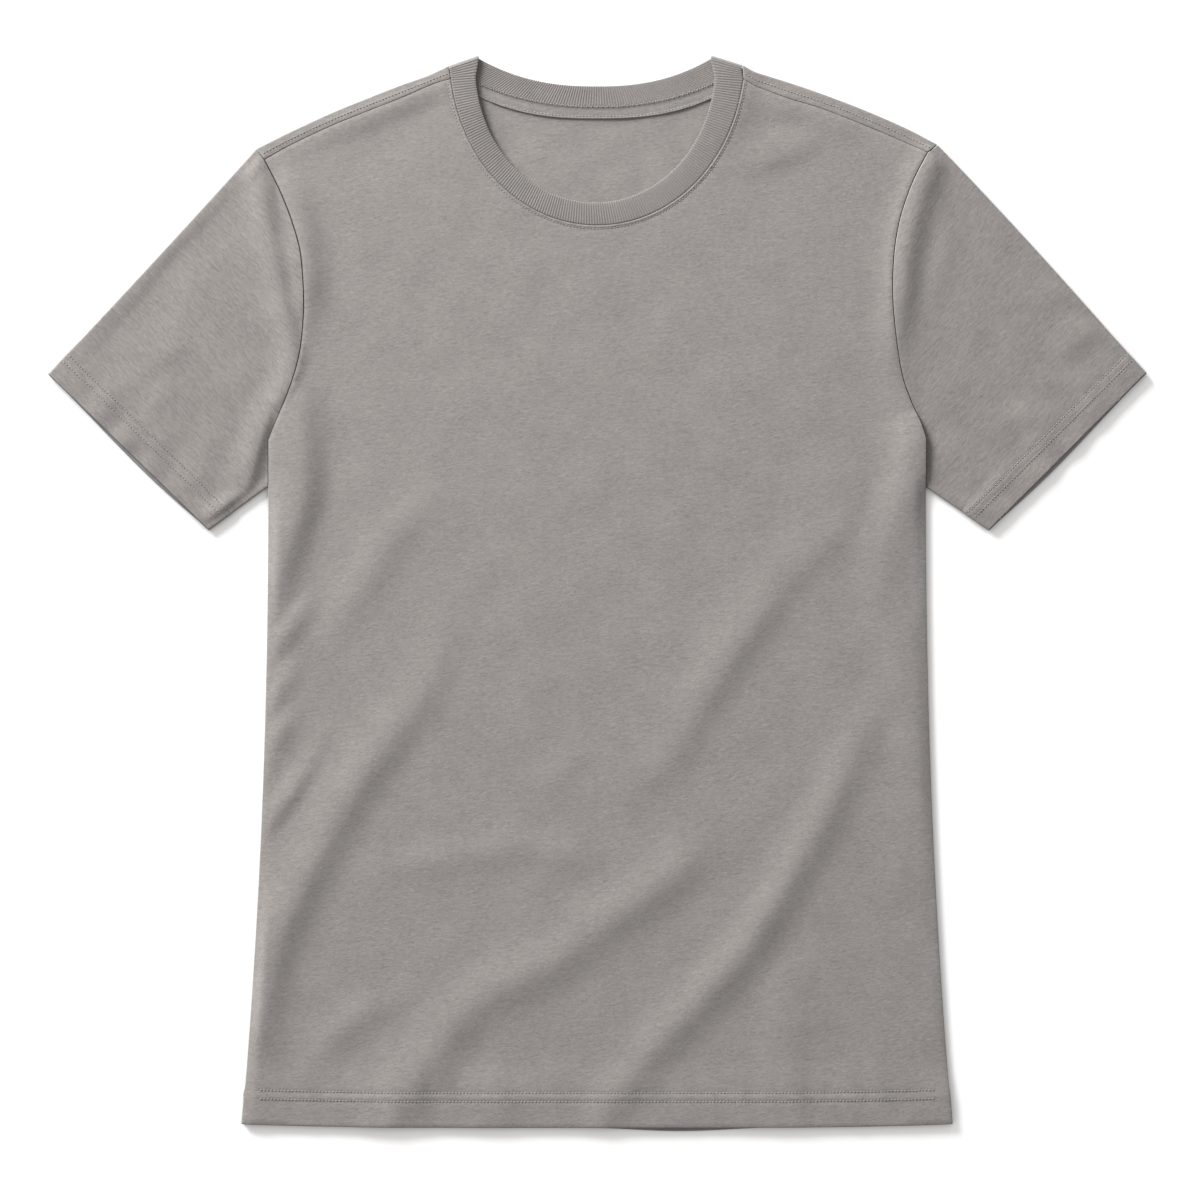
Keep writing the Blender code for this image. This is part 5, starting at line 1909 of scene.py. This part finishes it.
@dataclass
class Neckband(Piece):
    """The doubled 1x1 rib band: on top at the front, turned over beside the neck, flat behind.

    Its ribs are about 1.4 mm apart; they are drawn at 1.75 mm to show.
    """

    rib_pitch: float = 1.75
    rib_parts: int = 4
    rib_depth: float = 0.28
    front_top: float = 1.3
    sinks: Pair = (290.0, 340.0)
    crown: float = 0.15
    edge_round: float = 0.9
    edge_lean: float = 0.6
    # Shade painted into the grooves between the ribs.
    groove_painted_shade: float = 0.25
    round_steps: int = 6
    turn_steps: int = 12

    def build(self) -> float:
        """Builds the band and returns the length of its ring in millimetres."""
        edge, seam, out, angle, height = self._stations()
        middle = np.column_stack(((edge + seam) / 2, np.zeros(len(edge))))
        reach = height + CLOTH.rib
        middle[:, :2] += out * (reach * np.cos(angle))[:, None]
        middle[:, 2] = NECK.band_radius + reach * np.sin(angle)
        along = lengths(np.vstack((middle, middle[:1])))
        ribs = round(along[-1] / self.rib_pitch)
        wanted = np.arange(ribs * self.rib_parts) * along[-1] / (ribs * self.rib_parts)
        columns = np.column_stack((edge, seam, out, angle, height))
        columns = np.vstack((columns, columns[:1]))
        fine = np.column_stack([np.interp(wanted, along, column) for column in columns.T])
        rings, count = [], 0
        blocks, shades = [], []
        for k, row in enumerate(fine):
            groove = 0.5 - 0.5 * math.cos(2.0 * math.pi * k / self.rib_parts)
            section = self._section(row, self.rib_depth * groove)
            blocks.append(section)
            # Painted shade in the groove between two ribs.
            shades.append(np.full(len(section), self.groove_painted_shade * groove))
            rings.append(np.arange(len(section)) + count)
            count += len(section)
        faces = between(rings + rings[:1], closed=True)
        self.made = mesh_object(self.name, np.vstack(blocks), faces, np.concatenate(shades))
        return float(along[-1])

    def _stations(self) -> tuple[Array, Array, Array, Array, Array]:
        """Lists sections round the ring: front, right turn, back and left turn.

        Returns:
            Each section's free edge and seam in plan, its outward way, turn and height.
        """
        inner = NECK.band_radius - CLOTH.rib
        rows = []
        for edge, seam in zip(NECK.front_edge(NECK_PARTS), NECK.front_seam(NECK_PARTS)):
            sink = (NECK.band_turn - self.front_top) * (1.0 - float(ease(*self.sinks, seam[1])))
            side = Side.LEFT if edge[0] < 0 else Side.RIGHT
            rows.append((*edge, *seam, *NECK.outward(side), math.pi / 2, inner - sink))
        turns = range(1, self.turn_steps)
        for side, steps in ((Side.RIGHT, reversed(turns)), (Side.LEFT, turns)):
            axis = NECK.axis(side)
            if side is Side.LEFT:
                for edge, seam in zip(NECK.back_edge(90), NECK.back_seam(90)):
                    near = Side.LEFT if edge[0] < 0 else Side.RIGHT
                    rows.append((*edge, *seam, *NECK.outward(near), -math.pi / 2, inner))
            for step in steps:
                angle = math.pi * step / self.turn_steps - math.pi / 2
                rows.append((*axis[0], *axis[1], *NECK.outward(side), angle, inner))
        table = np.array(rows)
        return table[:, 0:2], table[:, 2:4], table[:, 4:6], table[:, 6], table[:, 7]

    def _section(self, row: Array, groove: float) -> Array:
        """Returns the points of one section of the band.

        Args:
            row: Its free edge, seam, outward way, turn and height.
            groove: How far its surface is drawn in between two ribs.
        """
        edge, seam, out, angle, height = row[0:2], row[2:4], row[4:6], row[6], row[7]
        across = unit(seam - edge)
        width = float(np.linalg.norm(seam - edge)) - CLOTH.seam_gap / 2
        half = CLOTH.rib / 2
        crown = self.crown * max(0.0, math.sin(angle))
        shape = [(width, 0.5 * half), (width - 0.02, half), (width - 0.06, 1.75 * half)]
        for share in (0.98, 0.93, 0.8, 0.6, 0.4, 0.22, 0.1):
            rise = CLOTH.rib - groove + crown * math.sin(math.pi * share)
            shape.append((share * width, rise))
        level = half * (1.0 + self.edge_lean * math.sin(angle))
        for step in range(1, self.round_steps + 1):
            turn = math.pi * step / self.round_steps
            reach = CLOTH.rib - groove - level if math.cos(turn) > 0 else level - groove
            shape.append((
                self.edge_round * (1.0 - math.sin(turn)) + groove * math.sin(turn),
                level + reach * math.cos(turn),
            ))
        for share in (0.25, 0.5, 0.75, 0.95):
            shape.append((share * width, groove))
        shape.append((width - 0.2, 0.15))
        along, up = np.array(shape).T
        reach = height + up
        plan = edge + across * along[:, None] + out * (reach * math.cos(angle))[:, None]
        return np.column_stack((plan, NECK.band_radius + reach * math.sin(angle)))


@dataclass
class NeckTape(Piece):
    """The jersey tape sewn over the back neck seam, lying on the back panel."""

    width: float = 8.0
    half_length: float = 91.0
    low_power: float = 2.6
    row_in: float = 1.6
    shares: tuple[float, ...] = (0.0, 0.08, 0.16, 0.24, 0.34, 0.48, 0.62, 0.8, 0.9, 1.0)
    thickness: float = 0.7
    crown: float = 0.1
    lower_lip: float = 0.34
    upper_lip: float = 0.42
    lip_share: float = 0.1
    row_share: float = 0.07
    hole_depth: float = 0.15
    rim: float = 0.15
    tuck: float = 0.2
    zigzag_pitch: float = 1.8
    zigzag_turn: float = 0.9
    zigzag_rise: float = 0.32

    @property
    def level(self) -> float:
        """Height of the tape's upper side."""
        return CLOTH.jersey + self.thickness

    def edges(self) -> tuple[Array, Array]:
        """Returns the tape's lower and upper edges in plan, from left to right."""
        count = 2 * round(2 * self.half_length / 2.4)
        x = np.linspace(-self.half_length, self.half_length, count + 1)
        seam = NECK.back_seam(90)[::-1]
        top = np.interp(x, seam[:, 0], seam[:, 1]) - CLOTH.seam_gap
        low = NECK.back_seam_y - CLOTH.seam_gap - self.width
        rise = (top[0] - self.width - low) * (np.abs(x) / self.half_length) ** self.low_power
        return np.column_stack((x, low + rise)), np.column_stack((x, top))

    def row(self) -> StitchRow:
        """Returns the row of topstitches along the tape's lower edge."""
        low, _ = self.edges()
        return StitchRow((low + (0.0, self.row_in))[1:-1])

    def zigzag(self) -> Frames:
        """Returns the places, ways and upward ways of the zigzag that joins it to the band."""
        middles, ways = StitchRow(NECK.back_seam(90)[6:-6], pitch=self.zigzag_pitch).places()
        turn = np.where(np.arange(len(ways)) % 2 == 0, self.zigzag_turn, -self.zigzag_turn)
        aside = np.array([turned(way) for way in ways])
        ways = np.cos(turn)[:, None] * ways + np.sin(turn)[:, None] * aside
        flat = np.zeros(len(ways))
        return (
            np.column_stack((middles, flat + CLOTH.rib + self.zigzag_rise)),
            np.column_stack((ways, flat)), np.column_stack((flat, flat, flat + 1.0)),
        )

    def height(self, points: Array) -> Array:
        """Returns the tape's height at plan points of its row of stitches."""
        return np.full(len(points), self.level + 0.5 * self.crown)

    def build(self) -> StitchRow:
        """Builds the tape and returns its row of stitches."""
        low, top = self.edges()
        low, top = low + (0.0, self.rim), top + (0.0, self.tuck)
        shell = Shell()
        rows = []
        pulse = np.clip(np.cos(math.pi * np.arange(len(low))), 0.0, 1.0)
        for share in self.shares:
            plan = low + share * (top - low)
            rise = self.level + self.crown * math.sin(math.pi * share)
            rise += self.lower_lip * bump_at(share, self.lip_share)
            rise += self.upper_lip * bump_at(1.0 - share, self.lip_share)
            pinch = bump_at(share - self.row_in / self.width, self.row_share)
            z = rise - self.hole_depth * pinch * pulse
            # Painted shade in the needle holes, as deep as they are.
            rows.append(
                shell.add(
                    np.column_stack((plan, z)), (0.0, 0.0, -self.thickness),
                    self.hole_depth * pinch * pulse,
                )
            )
        shell.faces = between(rows)
        self.made = shell.build(self.name)
        return self.row()


# ---- studio


@dataclass(frozen=True)
class Studio:
    """A white floor with a painted glow, soft light from the upper left and a camera straight above."""

    frame_width: float = 840.0
    centre: Pair = (2.1, -4.55)
    lens: float = 107.0
    sensor: float = 36.0
    floor_drop: float = 0.4
    floor_size: float = 9000.0
    floor_colour: str = "#E2E2E2"
    # The floor's glow is painted light that lifts its shadows; within glow_reach of the cloth it dims,
    # as a painted contact shadow.
    floor_painted_glow: float = 0.4
    glow_colour: str = "#FFFDFB"
    glow_reach: float = 14.0
    glow_falloff: float = 2.0
    key_elevation: float = 17.0
    key_from: float = 130.0
    key_distance: float = 4.5
    key_size: float = 2.0
    key_power: float = 563.0
    sky: float = 0.42

    def build(self) -> None:
        """Makes the floor, the lights and the camera."""
        self._floor()
        self._lights()
        self._camera()
        bpy.context.scene.view_settings.view_transform = "Standard"

    def _floor(self) -> None:
        """Makes the floor, white, with a painted glow that is dimmed beside and under the cloth as a
        painted contact shadow.
        """
        bpy.ops.object.select_all(action="DESELECT")
        bpy.ops.mesh.primitive_plane_add(
            size=self.floor_size * MM, location=(0.0, 0.0, -self.floor_drop * MM)
        )
        floor = bpy.context.object
        floor.name = "studio_floor"
        bpy.ops.object.transform_apply(location=True, rotation=True, scale=True)
        made, tree, shader = new_material("opal acrylic, lit through")
        shader.inputs["Base Color"].default_value = linear(self.floor_colour)
        shader.inputs["Roughness"].default_value = 1.0
        shader.inputs["Specular IOR Level"].default_value = 0.0
        # Painted shadow: ambient occlusion dims the floor's painted glow beside and under the cloth.
        open_sky = add_node(
            tree, "ShaderNodeAmbientOcclusion", {"samples": 8}, {"Distance": self.glow_reach * MM},
        ).outputs["AO"]
        glow = calculate(tree, "POWER", open_sky, self.glow_falloff)
        glow = calculate(tree, "MULTIPLY", glow, self.floor_painted_glow)
        shader.inputs["Emission Color"].default_value = linear(self.glow_colour)
        tree.links.new(glow, shader.inputs["Emission Strength"])
        floor.data.materials.append(made)

    def _lights(self) -> None:
        """Makes one soft key light and an even white sky."""
        data = bpy.data.lights.new("key", "AREA")
        data.energy = self.key_power
        data.size = self.key_size
        key = bpy.data.objects.new("key", data)
        rise, turn = math.radians(self.key_elevation), math.radians(self.key_from)
        from_key = Vector(
            (math.cos(rise) * math.cos(turn), math.cos(rise) * math.sin(turn), math.sin(rise))
        )
        key.rotation_mode = "QUATERNION"
        key.rotation_quaternion = (-from_key).to_track_quat("-Z", "Y")
        key.location = from_key * self.key_distance
        bpy.context.scene.collection.objects.link(key)
        world = bpy.data.worlds.new("sky")
        world.use_nodes = True
        back = world.node_tree.nodes["Background"]
        back.inputs["Color"].default_value = (1.0, 1.0, 1.0, 1.0)
        back.inputs["Strength"].default_value = self.sky
        bpy.context.scene.world = world

    def _camera(self) -> None:
        """Makes the camera, looking straight down at the middle of the picture."""
        data = bpy.data.cameras.new("camera")
        data.lens = self.lens
        data.sensor_width = self.sensor
        camera = bpy.data.objects.new("camera", data)
        away = self.frame_width * self.lens / self.sensor
        camera.location = Vector((*self.centre, away)) * MM
        data.clip_end = 4.0 * away * MM
        bpy.context.scene.collection.objects.link(camera)
        bpy.context.scene.camera = camera


# ---- the shirt


def sew(name: str, frames: Sequence[Frames], thread: Material, seed: int) -> Object:
    """Lays rows of stitches as one piece.

    Args:
        name: The piece's name.
        frames: Where the stitches lie.
        thread: Their material.
        seed: Starts the draw of how they lie.

    Returns:
        The piece.
    """
    made = Thread().lay(name, frames, seed)
    made.data.materials.append(thread)
    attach(made, BODY)
    LOG.info("%s: %d stitches", name, sum(len(frame[0]) for frame in frames))
    return made


# The body's courses lie a little askew, as on most knitted shirts.
BODY_COURSE_ANGLE = 0.15
# The sleeves are coloured a touch darker than the body, the left one a little darker than the right.
SLEEVE_COLOURS = {Side.LEFT: "#898481", Side.RIGHT: "#8A8582"}


def course_angle(side: Side) -> float:
    """Returns the angle at which a sleeve's courses run, along its cuff."""
    corner = BODICE.corners[side]
    way = np.subtract(corner.cuff_top, corner.cuff_foot) * side.value
    return math.atan2(way[1], way[0])


def main() -> None:
    """Builds and dresses the shirt and sets up the studio."""
    logging.basicConfig(level=logging.INFO, format="%(name)s: %(message)s")
    jersey = JerseyFinish(course_angle=BODY_COURSE_ANGLE).material()
    thread = ThreadFinish().material()

    back = BackPanel("back_panel", "back", Slot.JERSEY)
    back_rows = back.build()
    back.dress(jersey)
    hem_back = sew(
        "back_hem_stitches", [on_surface(row, back.underside, -1.0) for row in back_rows], thread, 1,
    )
    shoulders = sew(
        "shoulder_stitches",
        [on_surface(back.shoulder_row(side), back.strip_height) for side in Side], thread, 2,
    )
    LOG.info("back panel made")

    front = FrontPanel("front_panel", "front", Slot.JERSEY)
    front_rows = front.build()
    front.dress(jersey)
    front_stitches = sew(
        "front_stitches", [on_surface(row, front.height) for row in front_rows], thread, 3
    )
    LOG.info("front panel made")

    sleeves = []
    for side in Side:
        word = side.name.lower()
        sleeve = Sleeve(f"{word}_sleeve", f"sleeve_{word}", Slot.JERSEY, side=side)
        frames = sleeve.build()
        sleeve.dress(
            SleeveFinish(
                name=f"brushed cotton jersey, grey melange, {word} sleeve",
                colour=SLEEVE_COLOURS[side], course_angle=course_angle(side),
            ).material()
        )
        sleeves.append((sleeve, sew(f"{word}_cuff_stitches", frames, thread, 4 + side.value)))
        LOG.info("%s sleeve made", word)

    band = Neckband("rib_neckband", "collar", Slot.RIB)
    band_length = band.build()
    band.dress(RibFinish().material())
    LOG.info("neckband made, %.0f mm round", band_length)

    tape = NeckTape("back_neck_tape", "neck_tape", Slot.TAPE)
    tape_row = tape.build()
    tape.dress(jersey)
    tape_stitches = sew("tape_stitches", [on_surface(tape_row, tape.height), tape.zigzag()], thread, 6)
    LOG.info("neck tape made")

    body_width = 2 * float(BODICE.half_width(BODICE.hem_y))
    body_length = BODICE.corners[Side.LEFT].collar_end[1] - BODICE.back_hem_y
    front_area = area_of(front.outline())
    front.declare((body_width, body_length), front_area, ["back_panel"], [front_stitches])
    back.declare(
        (body_width, body_length), front_area, ["studio_floor"],
        [hem_back, shoulders, tape.made, tape_stitches],
    )
    for sleeve, stitches in sleeves:
        head, _, cuff = sleeve.lines
        area = 2 * area_of(np.vstack((head, cuff[::-1])))
        length = float(np.linalg.norm(head[0] - cuff[0]))
        width = 2 * float(np.linalg.norm(head[0] - head[-1]))
        sleeve.declare((width, length), area, ["studio_floor"], [stitches])
    band_width = NECK.seam_drop - NECK.edge_drop
    band.declare((band_length, band_width), band_length * band_width, ["back_panel"])
    Studio().build()


if __name__ == "__main__":
    main()
